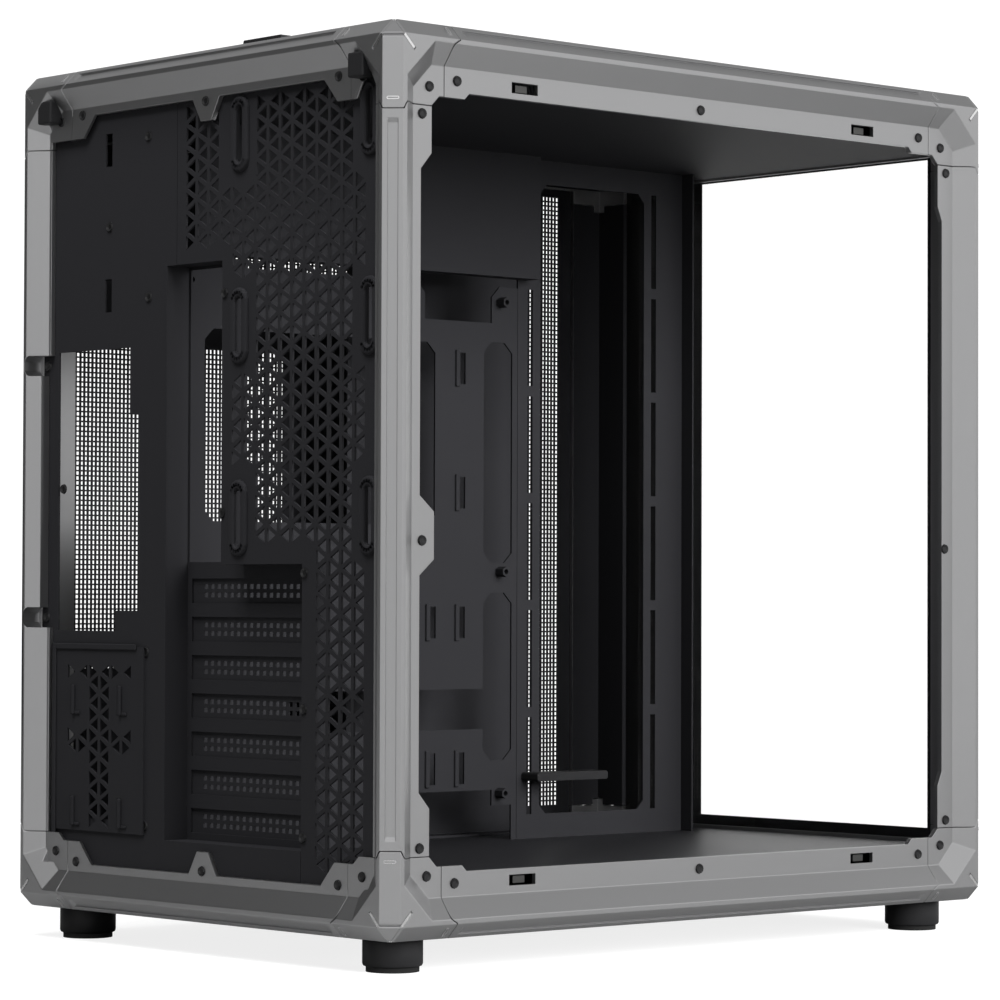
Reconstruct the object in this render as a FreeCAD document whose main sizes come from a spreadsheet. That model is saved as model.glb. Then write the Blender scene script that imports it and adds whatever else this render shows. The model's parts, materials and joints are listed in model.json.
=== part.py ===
import FreeCAD, Part
import itertools
import math
import os
from types import SimpleNamespace

import Sketcher

# Computer case with an open left side: an aluminium frame of posts, rails and corner caps carries steel
# inner panels, a perforated right side and a glass front. +Z is up, +Y is the rear, -X is the open side,
# and the origin is on the floor under the middle of the case. All lengths are millimetres.

SIZES = [
    ("case_width", 320, "frame, outside, along X"),
    ("case_depth", 446, "frame, outside, along Y"),
    ("body_height", 457, "frame, outside, along Z"),
    ("ground_gap", 17, "floor to the underside of the frame"),
    ("chamfer_leg", 7.5, "leg of the 45 degree face on every frame edge"),
    ("facet_inset", 10, "outer face to the top of the recess slope"),
    ("slope_run", 10.5, "width of the recess slope"),
    ("recess_depth", 8, "outer face to the flange"),
    ("recess_clip", 12, "leg of the clipped corners of the recess floor"),
    ("flange_wall", 3, "flange thickness"),
    ("rail_reach", 33, "outer edge to the inner edge of a rail's flange"),
    ("rail_lug_reach", 36, "same, beside the corner caps of the left side"),
    ("post_lug_reach", 33, "same, on the posts beside the caps"),
    ("rear_post_reach", 26, "same, on the rear left post between its lugs"),
    ("front_post_reach", 29.5, "same, on the front left post between its lugs"),
    ("mid_lug_reach", 35.5, "same, at the lug half way down the rear left post"),
    ("mid_lug_height", 201, "middle of that lug above the frame's underside"),
    ("mid_lug_length", 40, "length of that lug at its root"),
    ("lug_taper", 8, "length of a lug's sloped end"),
    ("post_lug_end", 65, "outer edge to the end of a post lug"),
    ("rail_lug_end", 55, "outer edge to the end of a rail lug"),
    ("opening_clip", 5, "clipped corner of the left opening"),
    ("rear_rail_reach", 25, "flange reach on the rear rails"),
    ("rear_side_reach", 22, "flange reach on the rear posts"),
    ("rear_lug_reach", 37, "reach of the screw lugs on the rear rails"),
    ("rear_lug_root", 23, "root width of those lugs"),
    ("rear_lug_tip", 9, "tip width of those lugs"),
    ("foot_clip", 30, "clipped corner of the bottom opening, over a foot"),
    ("cap_length", 41, "outer face to the seam of a corner cap"),
    ("tongue_length", 4, "step of the seam along the 45 degree face"),
    ("seam_gap", 0.3, "gap in the seams"),
    ("vertex_cut", 17, "three coordinates added up on the cut face of a cap"),
    ("mitre_width", 1.6, "width of the mitre grooves on the caps"),
    ("mitre_depth", 0.8, "depth of the mitre grooves"),
    ("mitre_run", 5, "mitre grooves past the top of the slope"),
    ("groove_width", 5.2, "groove in the 45 degree face of a bar"),
    ("groove_depth", 1, "depth of that groove"),
    ("groove_stop", 5, "seam to the end of that groove"),
    ("pin_slot_length", 18, "slot in the left rails for a panel pin"),
    ("pin_slot_height", 5.5, "height of the pin slot"),
    ("pin_slot_spread", 127, "middle of the case to a pin slot"),
    ("pin_slot_inset", 27, "outer edge to the middle of a pin slot"),
    ("catch_depth", 6, "catch behind a pin slot"),
    ("catch_length", 8, "length of the catch"),
    ("catch_height", 3.6, "height of the catch"),
    ("foot_radius", 15.3, "foot"),
    ("foot_inset_width", 31, "outer face to the foot's axis, along X"),
    ("foot_inset_depth", 29, "outer face to the foot's axis, along Y"),
    ("foot_neck", 6, "square spigot of the foot inside the recess, half its diagonal"),
    ("sole_radius", 13.5, "rubber pad under the foot"),
    ("sole_height", 2.6, "thickness of the rubber pad"),
    ("sheet", 1.2, "steel sheet"),
    ("sheet_margin", 1, "clearance from a panel's edge to the frame inside"),
    ("vent_from_socket", 8.6, "left edge of the socket recess to the left edge of the vent plate"),
    ("socket_from_tray", 8.4, "tray to the left edge of the socket recess"),
    ("socket_width", 47.6, "width of the socket recess"),
    ("socket_over_board", 6, "top row of standoffs to the top of the socket recess"),
    ("socket_over_middle", 1.94, "middle row of standoffs to the bottom of the socket recess"),
    ("slot_zone_margin", 18, "right end of the slots to the right edge of the slot recess"),
    ("slot_zone_lift", 10, "inner bottom panel to the bottom of the slot recess"),
    ("recess_set_back", 15, "depth of the socket and slot recess"),
    ("aperture_edge", 1.5, "rim left round the socket aperture"),
    ("slot_pitch", 20.32, "expansion slot pitch"),
    ("slot_first_drop", 13.7, "bottom of the socket recess to the first slot"),
    ("slot_last_lift", 9, "bottom of the slot recess to the last slot, least height"),
    ("slot_opening", 13, "height of a slot"),
    ("slot_end_margin", 3.6, "left edge of the socket recess to the left end of the slots"),
    ("slot_length", 93, "length of a slot"),
    ("cover_height", 18.6, "slot cover"),
    ("cover_overlap_left", 2.8, "slot cover past the slot, left"),
    ("cover_overlap_right", 14, "slot cover past the slot, right"),
    ("cover_sheet", 0.8, "slot cover thickness"),
    ("cover_lip", 6, "bent lip at the left end of a slot cover"),
    ("cover_gaps", 2, "gaps in a row of a slot cover"),
    ("cover_gap_height", 3, "height of those gaps"),
    ("cover_gap_web", 2.8, "web round those gaps"),
    ("supply_side", 26, "right side of the frame to the power supply opening"),
    ("supply_from_tray", 15, "tray to the power supply opening"),
    ("supply_height", 152.5, "height of the power supply opening"),
    ("supply_lift", 8.5, "drive access plate to the power supply opening"),
    ("supply_step", 9, "upper part of that opening, narrower"),
    ("supply_step_drop", 36, "height of that upper part"),
    ("supply_ear", 21, "screw ear in the lower right corner of that opening, width"),
    ("supply_ear_height", 11, "height of that ear"),
    ("bay_relief", 5, "flange of the rear right post, cut back beside that opening"),
    ("bay_notch_reach", 14, "screw notches at the ends of that cut, past the flange edge"),
    ("bay_notch_height", 11, "height of those notches"),
    ("bay_notch_clip", 3, "clipped corners of those notches"),
    ("bay_notch_drop", 7, "top or bottom of that opening to the middle of a notch"),
    ("drive_side", 26, "right side of the frame to the drive access plate"),
    ("drive_from_tray", 9, "tray to the drive access plate"),
    ("drive_height", 100, "height of the drive access plate"),
    ("drive_lift", 12, "inner bottom panel to the drive access plate"),
    ("drive_rim", 7, "overlap of that plate on the rear panel"),
    ("hook_side", 68, "right side of the frame to the hook slots in the rear panel"),
    ("hook_width", 6, "width of the hook slots"),
    ("hook_height", 18, "height of the hook slots"),
    ("hook_drop", 45, "top of the frame to the middle of the upper hook slot"),
    ("hook_lift", 29, "power supply opening to the middle of the lower hook slot"),
    ("triangle_side", 23, "side of the grille's triangle lattice"),
    ("triangle_bar", 2.6, "bar between two triangles"),
    ("grille_margin", 5, "plain rim round the grille"),
    ("fan_column_inset", 29, "left side of the frame to the outer fan slots of the vent plate"),
    ("fan_column_pitch", 105, "outer fan slots to inner fan slots"),
    ("fan_row_drop", 46, "top of the frame to the top fan slots"),
    ("fan_rows", 3, "fan slots in a column"),
    ("fan_row_pitch", 100, "height between fan slots"),
    ("fan_slot_length", 31, "fan slot, end to end"),
    ("fan_slot_width", 5, "fan slot width"),
    ("fan_rib", 3.5, "plain rib round a fan slot"),
    ("floor_over_pins", 4, "lower pin slots to the top of the inner bottom panel"),
    ("ceiling_under_pins", 5, "upper pin slots to the underside of the inner top panel"),
    ("tray_face", 45, "motherboard tray"),
    ("tray_ahead", 14, "front standoffs to the front edge of the tray"),
    ("tray_over_board", 9, "top standoffs to the top edge of the tray"),
    ("notch_drop", 12, "top standoffs to the bottom of the cable notch in the tray's top edge"),
    ("notch_behind", 57, "front standoffs to the rear end of the notch"),
    ("notch_length", 51, "length of the notch"),
    ("notch_clip", 6, "sloped ends of the notch"),
    ("cooler_ahead", 13.33, "rear standoffs to the cut-out behind the processor"),
    ("cooler_behind", 49, "front standoffs to that cut-out"),
    ("cooler_drop", 25, "top standoffs to that cut-out"),
    ("cooler_lift", 25.94, "middle standoffs to that cut-out"),
    ("cable_behind", 12, "front standoffs to the rear edge of the cable cut-outs"),
    ("cable_width", 22, "width of the cable cut-outs"),
    ("cable_upper_drop", 23, "top standoffs to the upper cable cut-out"),
    ("cable_upper_lift", 4.94, "middle standoffs to the upper cable cut-out"),
    ("cable_lower_drop", 12.06, "middle standoffs to the lower cable cut-out"),
    ("cable_lower_lift", 18.94, "low standoffs to the lower cable cut-out"),
    ("low_gap_lift", 36.94, "low standoffs to the gap beside the lower cut-out"),
    ("low_gap_height", 23, "height of that gap"),
    ("low_gap_length", 142, "length of that gap"),
    ("foot_notch_ahead", 10, "front standoffs to the front end of the notch in the tray's foot"),
    ("foot_notch_length", 70, "length of that notch"),
    ("foot_notch_lift", 2, "top of that notch above the low standoffs"),
    ("foot_tab_behind", 5, "tab that holds the lowest front standoff, past its axis"),
    ("foot_tab_drop", 7, "low standoffs to the lower edge of that tab"),
    ("tie_width", 8, "tie-down slot"),
    ("tie_height", 18, "tie-down slot"),
    ("tie_rear", 52, "front standoffs to the rear column of tie-down slots"),
    ("tie_middle", 30, "front standoffs to the middle column of tie-down slots"),
    ("tie_drop", 39, "top standoffs to the top row of tie-down slots"),
    ("tie_over_middle", 44.94, "middle standoffs to the second row"),
    ("tie_under_middle", 29.06, "middle standoffs to the third row"),
    ("tie_lift", 14.94, "low standoffs to the bottom row"),
    ("board_inset", 29.67, "rear face of the frame to the rear column of standoffs"),
    ("board_lift", 27.06, "inner bottom panel to the low row of standoffs"),
    ("board_column_mid", 69.85, "front column to the middle column"),
    ("board_column_rear", 227.33, "front column to the rear column"),
    ("board_row_mid", 127, "low row to the middle row"),
    ("board_row_top", 281.94, "low row to the top row"),
    ("standoff_height", 6.5, "standoff"),
    ("standoff_radius", 3, "standoff, across its corners, half"),
    ("standoff_bore", 1.5, "threaded hole of the standoff, radius"),
    ("guide_from_tray", 12, "tray to the cover plate above the board"),
    ("guide_clearance", 1.8, "slot bracket to the rear end of the cover plate"),
    ("guide_ahead", 7, "front edge of the tray to the front end of the cover plate"),
    ("guide_gap", 5, "top edge of the tray to the lower edge of the cover plate"),
    ("side_bracket_inset", 40, "front face of the frame to the upright fan bracket"),
    ("side_gap", 0.3, "gap between tray and fan bracket"),
    ("side_fold", 9, "fold at the front edge of the fan bracket"),
    ("side_open_ahead", 18, "front edge of the tray to the opening of the fan bracket"),
    ("side_open_behind", 33, "front edge of the fan bracket to its opening"),
    ("side_open_edge", 14, "opening to the floor and ceiling"),
    ("side_open_clip", 5, "clipped corners of that opening"),
    ("side_slot_margin", 8, "opening of the fan bracket to the middle of its slots"),
    ("side_slot_rows", 6, "slots in a column of the fan bracket"),
    ("side_slot_width", 4, "slot width"),
    ("side_slot_gap", 6, "web between two slots"),
    ("drive_plate_from_tray", 50, "tray to the drive plate"),
    ("drive_plate_inset", 185, "rear face of the frame to the drive plate"),
    ("drive_plate_ahead", 47, "front edge of the tray to the front edge of the drive plate"),
    ("drive_plate_drop", 12, "inner top panel to the drive plate"),
    ("drive_plate_foot", 14, "bent foot of the drive plate"),
    ("arm_length", 56, "bracket arm on the fan bracket"),
    ("arm_ahead", 4, "front edge of the tray to the rear end of the arm"),
    ("arm_lift", 36, "inner bottom panel to the middle of the arm"),
    ("arm_thickness", 5, "arm"),
    ("arm_clip", 1, "clipped edges of the arm"),
    ("arm_width", 14, "arm"),
    ("glass", 4, "front glass thickness"),
    ("panel_gap", 1, "outer panels to the foot of the recess slope"),
    ("mesh_sheet", 1.2, "right panel thickness"),
    ("mesh_rear_inset", 36, "rear face of the frame to the perforated zone"),
    ("mesh_front_inset", 43, "front face of the frame to the perforated zone"),
    ("mesh_top_inset", 38, "top of the frame to the perforated zone"),
    ("mesh_bottom_inset", 42, "underside of the frame to the perforated zone"),
    ("mesh_web", 6, "web between two gaps of the perforated zone"),
    ("mesh_columns", 12, "gaps of the right panel, front to rear"),
    ("mesh_rows", 3, "gaps of the right panel, bottom to top"),
    ("cover_plate", 1.5, "top cover thickness"),
    ("cover_columns", 8, "gaps of the top cover, left to right"),
    ("cover_rows", 2, "gaps of the top cover, front to rear"),
    ("cover_gap", 1.5, "switch panel to the top cover"),
    ("tab_middle", -30, "pull tab of the top cover"),
    ("tab_width", 38, "pull tab"),
    ("tab_depth", 7, "pull tab, along Y"),
    ("tab_rise", 11.5, "pull tab, above the cover"),
    ("filter_half_width", 110, "bottom filter"),
    ("filter_sheet", 1.5, "bottom filter thickness"),
    ("switch_half_width", 60, "switch panel"),
    ("switch_depth", 24, "switch panel, along Y"),
    ("switch_height", 3, "switch panel thickness"),
    ("button_middle", -40, "power button"),
    ("button_radius", 5.7, "power button"),
    ("button_clearance", 0.3, "round the button"),
    ("button_travel", 1.2, "travel of the button"),
    ("button_proud", 0.6, "button above the switch panel"),
    ("port_pitch", 20, "middle to middle of two ports"),
    ("port_first", 30, "button to the first port"),
    ("port_width", 13, "larger ports"),
    ("port_height", 6, "larger ports"),
    ("small_port_width", 9, "smaller port"),
    ("small_port_height", 3.6, "smaller port"),
    ("port_depth", 1, "recess of the ports"),
    ("clip_width", 9, "rear clips"),
    ("clip_height", 14, "rear clips"),
    ("clip_depth", 6.5, "rear clips, from the flange"),
    ("clip_top_inset", 11, "top of the frame to the top of a clip"),
    ("clip_left_inset", 30, "left side of the frame to the middle of the left clip"),
    ("clip_right_inset", 22, "right side of the frame to the middle of the right clip"),
]

doc = FreeCAD.newDocument("computer_case")
sheet = doc.addObject("Spreadsheet::Sheet", "Sizes")
for row, (alias, number, note) in enumerate(SIZES, start=1):
    sheet.set(f"A{row}", note)
    sheet.set(f"B{row}", str(number))
    sheet.setAlias(f"B{row}", alias)
doc.recompute()


class Dim:
    """A length with its number and the sheet expression that gives it."""

    def __init__(self, text, number):
        self.text = text
        self.number = number

    def __add__(self, other):
        other = as_dim(other)
        return Dim(f"({self.text} + {other.text})", self.number + other.number)

    def __sub__(self, other):
        other = as_dim(other)
        return Dim(f"({self.text} - {other.text})", self.number - other.number)

    def __mul__(self, factor):
        return Dim(f"({self.text} * {factor})", self.number * factor)

    def __truediv__(self, factor):
        return Dim(f"({self.text} / {factor})", self.number / factor)

    def __neg__(self):
        return Dim(f"(-1 * {self.text})", -self.number)


def as_dim(value):
    return value if isinstance(value, Dim) else Dim(repr(float(value)), float(value))


def bind(item, **lengths):
    for name, length in lengths.items():
        item.setExpression(name.replace("__", "."), as_dim(length).text)


s = SimpleNamespace(**{alias: Dim(f"Sizes.{alias}", float(sheet.get(alias))) for alias, _, _ in SIZES})

# Planes that several pieces share
half_width = s.case_width / 2
half_depth = s.case_depth / 2
frame_bottom = s.ground_gap
frame_top = s.ground_gap + s.body_height
wall_inset = s.recess_depth + s.flange_wall
recess_inset = s.facet_inset + s.slope_run
inner_x = half_width - wall_inset
inner_y = half_depth - wall_inset
inner_bottom = frame_bottom + wall_inset
inner_top = frame_top - wall_inset
panel_inset = recess_inset + s.panel_gap

# Inside of the case: its floor and ceiling clear the pin slots, and the board stands on its floor
chamber_floor = frame_bottom + s.pin_slot_inset + s.floor_over_pins
chamber_ceiling = frame_top - s.pin_slot_inset - s.ceiling_under_pins
row_low = chamber_floor + s.board_lift
row_mid = row_low + s.board_row_mid
row_top = row_low + s.board_row_top
column_rear = half_depth - s.board_inset
column_front = column_rear - s.board_column_rear
column_mid = column_front + s.board_column_mid
tray_front = column_front - s.tray_ahead
tray_top = row_top + s.tray_over_board

# Rear wall: sockets and slots follow the board, the power supply and the drives follow the right side
io_left = s.tray_face - s.socket_from_tray
io_right = io_left - s.socket_width
io_top = row_top + s.socket_over_board
io_bottom = row_mid + s.socket_over_middle
vent_left = io_left - s.vent_from_socket
slot_left = io_left - s.slot_end_margin
slot_right = slot_left - s.slot_length
slot_zone_right = slot_right - s.slot_zone_margin
slot_zone_bottom = chamber_floor + s.slot_zone_lift
slot_first = io_bottom - s.slot_first_drop
slot_room = slot_first - slot_zone_bottom - s.slot_last_lift
slot_count = math.floor(slot_room.number / s.slot_pitch.number) + 1
drive_left = half_width - s.drive_side
drive_right = s.tray_face + s.drive_from_tray
drive_bottom = chamber_floor + s.drive_lift
drive_top = drive_bottom + s.drive_height
supply_left = half_width - s.supply_side
supply_right = s.tray_face + s.supply_from_tray
supply_bottom = drive_top + s.supply_lift
supply_top = supply_bottom + s.supply_height


# Drawing and feature helpers

PLANES = {"x": "YZ_Plane", "y": "XZ_Plane", "z": "XY_Plane"}
parts = []


def name_part(item, label):
    item.Label = label
    parts.append(item)
    return item


def new_body(label, exported=True):
    body = doc.addObject("PartDesign::Body", label)
    return name_part(body, label) if exported else body


def rect(low_u, high_u, low_v, high_v):
    return [(low_u, low_v), (high_u, low_v), (high_u, high_v), (low_u, high_v)]


def clipped_rect(low_u, high_u, low_v, high_v, clip):
    return [
        (low_u + clip, low_v), (high_u - clip, low_v), (high_u, low_v + clip), (high_u, high_v - clip),
        (high_u - clip, high_v), (low_u + clip, high_v), (low_u, high_v - clip), (low_u, low_v + clip),
    ]


def vector(u, v):
    return FreeCAD.Vector(as_dim(u).number, as_dim(v).number, 0)


def hold_point(constraints, lengths, curve, end, point):
    for kind, length in zip(("DistanceX", "DistanceY"), point):
        constraints.append(Sketcher.Constraint(kind, -1, 1, curve, end, as_dim(length).number))
        lengths[len(constraints) - 1] = length


def draw_outline(sketch, corners):
    """Closed outline of straight edges through corners, each held by its distances from the origin."""
    first = sketch.GeometryCount
    count = len(corners)
    lines = [Part.LineSegment(vector(*corners[i]), vector(*corners[(i + 1) % count])) for i in range(count)]
    sketch.addGeometry(lines, False)
    constraints = []
    lengths = {}
    for i in range(count):
        constraints.append(Sketcher.Constraint("Coincident", first + i, 2, first + (i + 1) % count, 1))
        hold_point(constraints, lengths, first + i, 1, corners[i])
    base = sketch.ConstraintCount
    sketch.addConstraint(constraints)
    for index, length in lengths.items():
        sketch.setExpression(f"Constraints[{base + index}]", as_dim(length).text)


def draw_circle(sketch, centre_u, centre_v, radius):
    first = sketch.GeometryCount
    circle = Part.Circle(vector(centre_u, centre_v), FreeCAD.Vector(0, 0, 1), radius.number)
    sketch.addGeometry(circle, False)
    constraints = []
    lengths = {}
    hold_point(constraints, lengths, first, 3, (centre_u, centre_v))
    constraints.append(Sketcher.Constraint("Radius", first, radius.number))
    lengths[len(constraints) - 1] = radius
    base = sketch.ConstraintCount
    sketch.addConstraint(constraints)
    for index, length in lengths.items():
        sketch.setExpression(f"Constraints[{base + index}]", as_dim(length).text)


def new_sketch(body, name, axis, level):
    """Sketch across an axis: its own u and v are the two other axes in X, Y, Z order."""
    sketch = body.newObject("Sketcher::SketchObject", f"{name}_sketch")
    plane = next(item for item in body.Origin.OriginFeatures if item.Role == PLANES[axis])
    sketch.AttachmentSupport = [(plane, "")]
    sketch.MapMode = "FlatFace"
    bind(sketch, AttachmentOffset__Base__z=-as_dim(level) if axis == "y" else level)
    return sketch


def finish_extrusion(body, kind, name, axis, sketch, toward, length):
    """Pad or pocket along +axis or -axis; the sketch across Y faces -Y, and a pocket cuts backwards."""
    feature = body.newObject(f"PartDesign::{kind}", name)
    feature.Profile = sketch
    along_normal = (toward > 0) != (axis == "y")
    feature.Reversed = along_normal if kind == "Pocket" else not along_normal
    bind(feature, Length=length)
    return feature


def extrude(body, kind, name, axis, level, toward, length, outlines):
    sketch = new_sketch(body, name, axis, level)
    for outline in outlines:
        draw_outline(sketch, outline)
    return finish_extrusion(body, kind, name, axis, sketch, toward, length)


def sheet_panel(label, axis, level, toward, thickness, outline, holes=()):
    body = new_body(label)
    extrude(body, "Pad", f"{label}_sheet", axis, level, toward, thickness, [outline, *holes])
    return body


def turned(body, name, profile):
    """Solid of revolution about Z from a closed profile of radius and height."""
    sketch = new_sketch(body, name, "y", 0)
    draw_outline(sketch, profile)
    feature = body.newObject("PartDesign::Revolution", name)
    feature.Profile = sketch
    feature.ReferenceAxis = (sketch, ["V_Axis"])
    feature.Angle = 360
    return feature


def block(name, low, high):
    """Plain block between two corners."""
    box = doc.addObject("Part::Box", name)
    bind(box, Length=high[0] - low[0], Width=high[1] - low[1], Height=high[2] - low[2])
    bind(box, Placement__Base__x=low[0], Placement__Base__y=low[1], Placement__Base__z=low[2])
    return box


def centred_wedge(name, origin, axes, half_u, from_v, to_v, from_w, to_w, half_u_end=None):
    """Prism in a turned frame: u either side of the origin, v along the second axis, w along the third."""
    wedge = doc.addObject("Part::Wedge", name)
    end = half_u if half_u_end is None else half_u_end
    bind(wedge, Xmin=-half_u, Xmax=half_u, X2min=-end, X2max=end, Ymin=from_v, Ymax=to_v)
    bind(wedge, Zmin=from_w, Zmax=to_w, Z2min=from_w, Z2max=to_w)
    wedge.Placement = FreeCAD.Placement(FreeCAD.Vector(), FreeCAD.Rotation(*axes, "ZYX"))
    bind(wedge, Placement__Base__x=origin[0], Placement__Base__y=origin[1], Placement__Base__z=origin[2])
    return wedge


def boolean(kind, name, base, tool):
    item = doc.addObject(f"Part::{kind}", name)
    item.Base = base
    item.Tool = tool
    return item


def fused(name, shapes):
    item = doc.addObject("Part::MultiFuse", name)
    item.Shapes = shapes
    return item


def perforated(label, axis, level, toward, thickness, outline, hole_wires):
    """Flat sheet with many openings, set by code; u and v are the two other axes in X, Y, Z order."""
    item = doc.addObject("Part::Feature", label)
    face = Part.makeFace([polygon_wire(outline), *hole_wires], "Part::FaceMakerBullseye")
    solid = face.extrude(FreeCAD.Vector(0, 0, thickness.number))
    along_x, along_y, along_z = (FreeCAD.Vector(*row) for row in ((1, 0, 0), (0, 1, 0), (0, 0, 1)))
    turn = {
        "x": FreeCAD.Rotation(along_y, along_z, along_x, "ZXY"),
        "y": FreeCAD.Rotation(along_x, along_z, -along_y, "ZXY"),
        "z": FreeCAD.Rotation(),
    }[axis]
    item.Shape = solid
    normal = turn.multVec(FreeCAD.Vector(0, 0, 1))
    unit = FreeCAD.Vector(*[1.0 if name == axis else 0.0 for name in "xyz"])
    start = unit * as_dim(level).number
    if normal.dot(unit) * toward < 0:
        start = start - normal * thickness.number
    item.Placement = FreeCAD.Placement(start, turn)
    return name_part(item, label)


def polygon_wire(points):
    return Part.makePolygon([vector(*point) for point in [*points, points[0]]])


def slot_wire(u, v, length, width):
    """Upright slot with round ends, centred on u and v."""
    radius = width / 2
    straight = length / 2 - radius
    low_left = FreeCAD.Vector(u - radius, v - straight, 0)
    low_right = FreeCAD.Vector(u + radius, v - straight, 0)
    high_right = FreeCAD.Vector(u + radius, v + straight, 0)
    high_left = FreeCAD.Vector(u - radius, v + straight, 0)
    low = Part.Arc(low_left, FreeCAD.Vector(u, v - length / 2, 0), low_right).toShape()
    high = Part.Arc(high_right, FreeCAD.Vector(u, v + length / 2, 0), high_left).toShape()
    return Part.Wire([low, Part.makeLine(low_right, high_right), high, Part.makeLine(high_left, low_left)])


def triangle_wires(zones, plain, side, bar):
    """Triangles of a lattice with upright bars, kept where they lie in a zone and clear of plain areas.

    Zones and plain areas are (low u, high u, low v, high v) in numbers.
    """
    pitch = side * math.sqrt(3) / 2
    shrink = 1 - bar * math.sqrt(3) / side
    low_u = min(zone[0] for zone in zones)
    high_u = max(zone[1] for zone in zones)
    low_v = min(zone[2] for zone in zones)
    high_v = max(zone[3] for zone in zones)
    wires = []
    for column in range(math.ceil((high_u - low_u) / pitch)):
        left = low_u + column * pitch
        shift = side / 2 * (column % 2)
        for step in range(-1, math.ceil((high_v - low_v) / side) + 1):
            base = low_v + step * side + shift
            tall = base + side
            half = base + side / 2
            right_tip = [(left, base), (left + pitch, half), (left, tall)]
            left_tip = [(left + pitch, half), (left + pitch, half + side), (left, tall)]
            for corners in (right_tip, left_tip):
                mid_u = sum(u for u, _ in corners) / 3
                mid_v = sum(v for _, v in corners) / 3
                hole = [(mid_u + (u - mid_u) * shrink, mid_v + (v - mid_v) * shrink) for u, v in corners]
                if in_zone(hole, zones) and not near_plain(hole, plain):
                    wires.append(polygon_wire(hole))
    return wires


def in_zone(points, zones):
    return any(all(z[0] <= u <= z[1] and z[2] <= v <= z[3] for u, v in points) for z in zones)


def near_plain(points, plain):
    low_u = min(u for u, _ in points)
    high_u = max(u for u, _ in points)
    low_v = min(v for _, v in points)
    high_v = max(v for _, v in points)
    return any(low_u < p[1] and high_u > p[0] and low_v < p[3] and high_v > p[2] for p in plain)


def rectangle_grid(low_u, high_u, low_v, high_v, columns, rows, web):
    """Rectangular gaps in even columns and rows with a web between neighbours."""
    width = (high_u - low_u - web * (columns - 1)) / columns
    height = (high_v - low_v - web * (rows - 1)) / rows
    wires = []
    for column, row in itertools.product(range(columns), range(rows)):
        u = low_u + column * (width + web)
        v = low_v + row * (height + web)
        wires.append(polygon_wire(rect(u, u + width, v, v + height)))
    return wires


# Frame blank: chamfered block, hollow, with an opening in every face

FACES = {
    "left": ("x", -half_width, 1, (-half_depth, half_depth, frame_bottom, frame_top)),
    "right": ("x", half_width, -1, (-half_depth, half_depth, frame_bottom, frame_top)),
    "front": ("y", -half_depth, 1, (-half_width, half_width, frame_bottom, frame_top)),
    "rear": ("y", half_depth, -1, (-half_width, half_width, frame_bottom, frame_top)),
    "bottom": ("z", frame_bottom, 1, (-half_width, half_width, -half_depth, half_depth)),
    "top": ("z", frame_top, -1, (-half_width, half_width, -half_depth, half_depth)),
}


def inset_limits(limits, inset):
    low_u, high_u, low_v, high_v = limits
    return low_u + inset, high_u - inset, low_v + inset, high_v - inset


def left_corner(rear, upper, reach):
    """Edge of the left opening round one corner, from the rail to the post."""
    rail_end = s.rail_lug_end + (s.rail_lug_reach - s.rail_reach)
    steps = [
        (rail_end, s.rail_reach),
        (s.rail_lug_end, s.rail_lug_reach),
        (s.post_lug_reach + s.opening_clip, s.rail_lug_reach),
        (s.post_lug_reach, s.rail_lug_reach + s.opening_clip),
        (s.post_lug_reach, s.post_lug_end),
        (reach, s.post_lug_end + s.lug_taper),
    ]
    points = []
    for inset_y, inset_z in steps:
        y = half_depth - inset_y if rear else inset_y - half_depth
        z = frame_top - inset_z if upper else frame_bottom + inset_z
        points.append((y, z))
    return points


def left_opening():
    lug_y = half_depth - s.mid_lug_reach
    post_y = half_depth - s.rear_post_reach
    middle = frame_bottom + s.mid_lug_height
    root = s.mid_lug_length / 2
    tip = root - s.lug_taper
    lug = [(post_y, middle + root), (lug_y, middle + tip), (lug_y, middle - tip), (post_y, middle - root)]
    return [
        *left_corner(True, True, s.rear_post_reach), *lug,
        *reversed(left_corner(True, False, s.rear_post_reach)),
        *left_corner(False, False, s.front_post_reach),
        *reversed(left_corner(False, True, s.front_post_reach)),
    ]


def rear_opening():
    side = half_width - s.rear_side_reach
    seam = half_width - s.cap_length
    root = s.rear_lug_root / 2
    tip = s.rear_lug_tip / 2
    edges = []
    for low, reach in ((True, s.rear_rail_reach), (False, s.rear_rail_reach)):
        level = frame_bottom + reach if low else frame_top - reach
        lug_level = frame_bottom + s.rear_lug_reach if low else frame_top - s.rear_lug_reach
        row = [(-side, level)]
        for middle in (-seam, as_dim(0), seam):
            row += [(middle - root, level), (middle - tip, lug_level)]
            row += [(middle + tip, lug_level), (middle + root, level)]
        row.append((side, level))
        edges += [*row, *bay_relief(side)] if low else reversed(row)
    return edges


def bay_relief(side):
    """Edge of the rear opening beside the power supply, from the lower to the upper screw notch."""
    far = side + s.bay_notch_reach
    half = s.bay_notch_height / 2
    clip = s.bay_notch_clip
    lower = supply_bottom + s.bay_notch_drop
    upper = supply_top - s.bay_notch_drop
    return [
        (side, lower - half), (far - clip, lower - half), (far, lower - half + clip),
        (far, lower + half - clip), (far - clip, lower + half), (side + s.bay_relief, lower + half),
        (side + s.bay_relief, upper - half), (far - clip, upper - half), (far, upper - half + clip),
        (far, upper + half - clip), (far - clip, upper + half), (side, upper + half),
    ]


def face_opening(face, limits):
    if face == "left":
        return left_opening()
    if face == "rear":
        return rear_opening()
    if face == "bottom":
        return clipped_rect(*inset_limits(limits, s.rail_reach), s.foot_clip)
    return rect(*inset_limits(limits, s.rail_reach))


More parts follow.
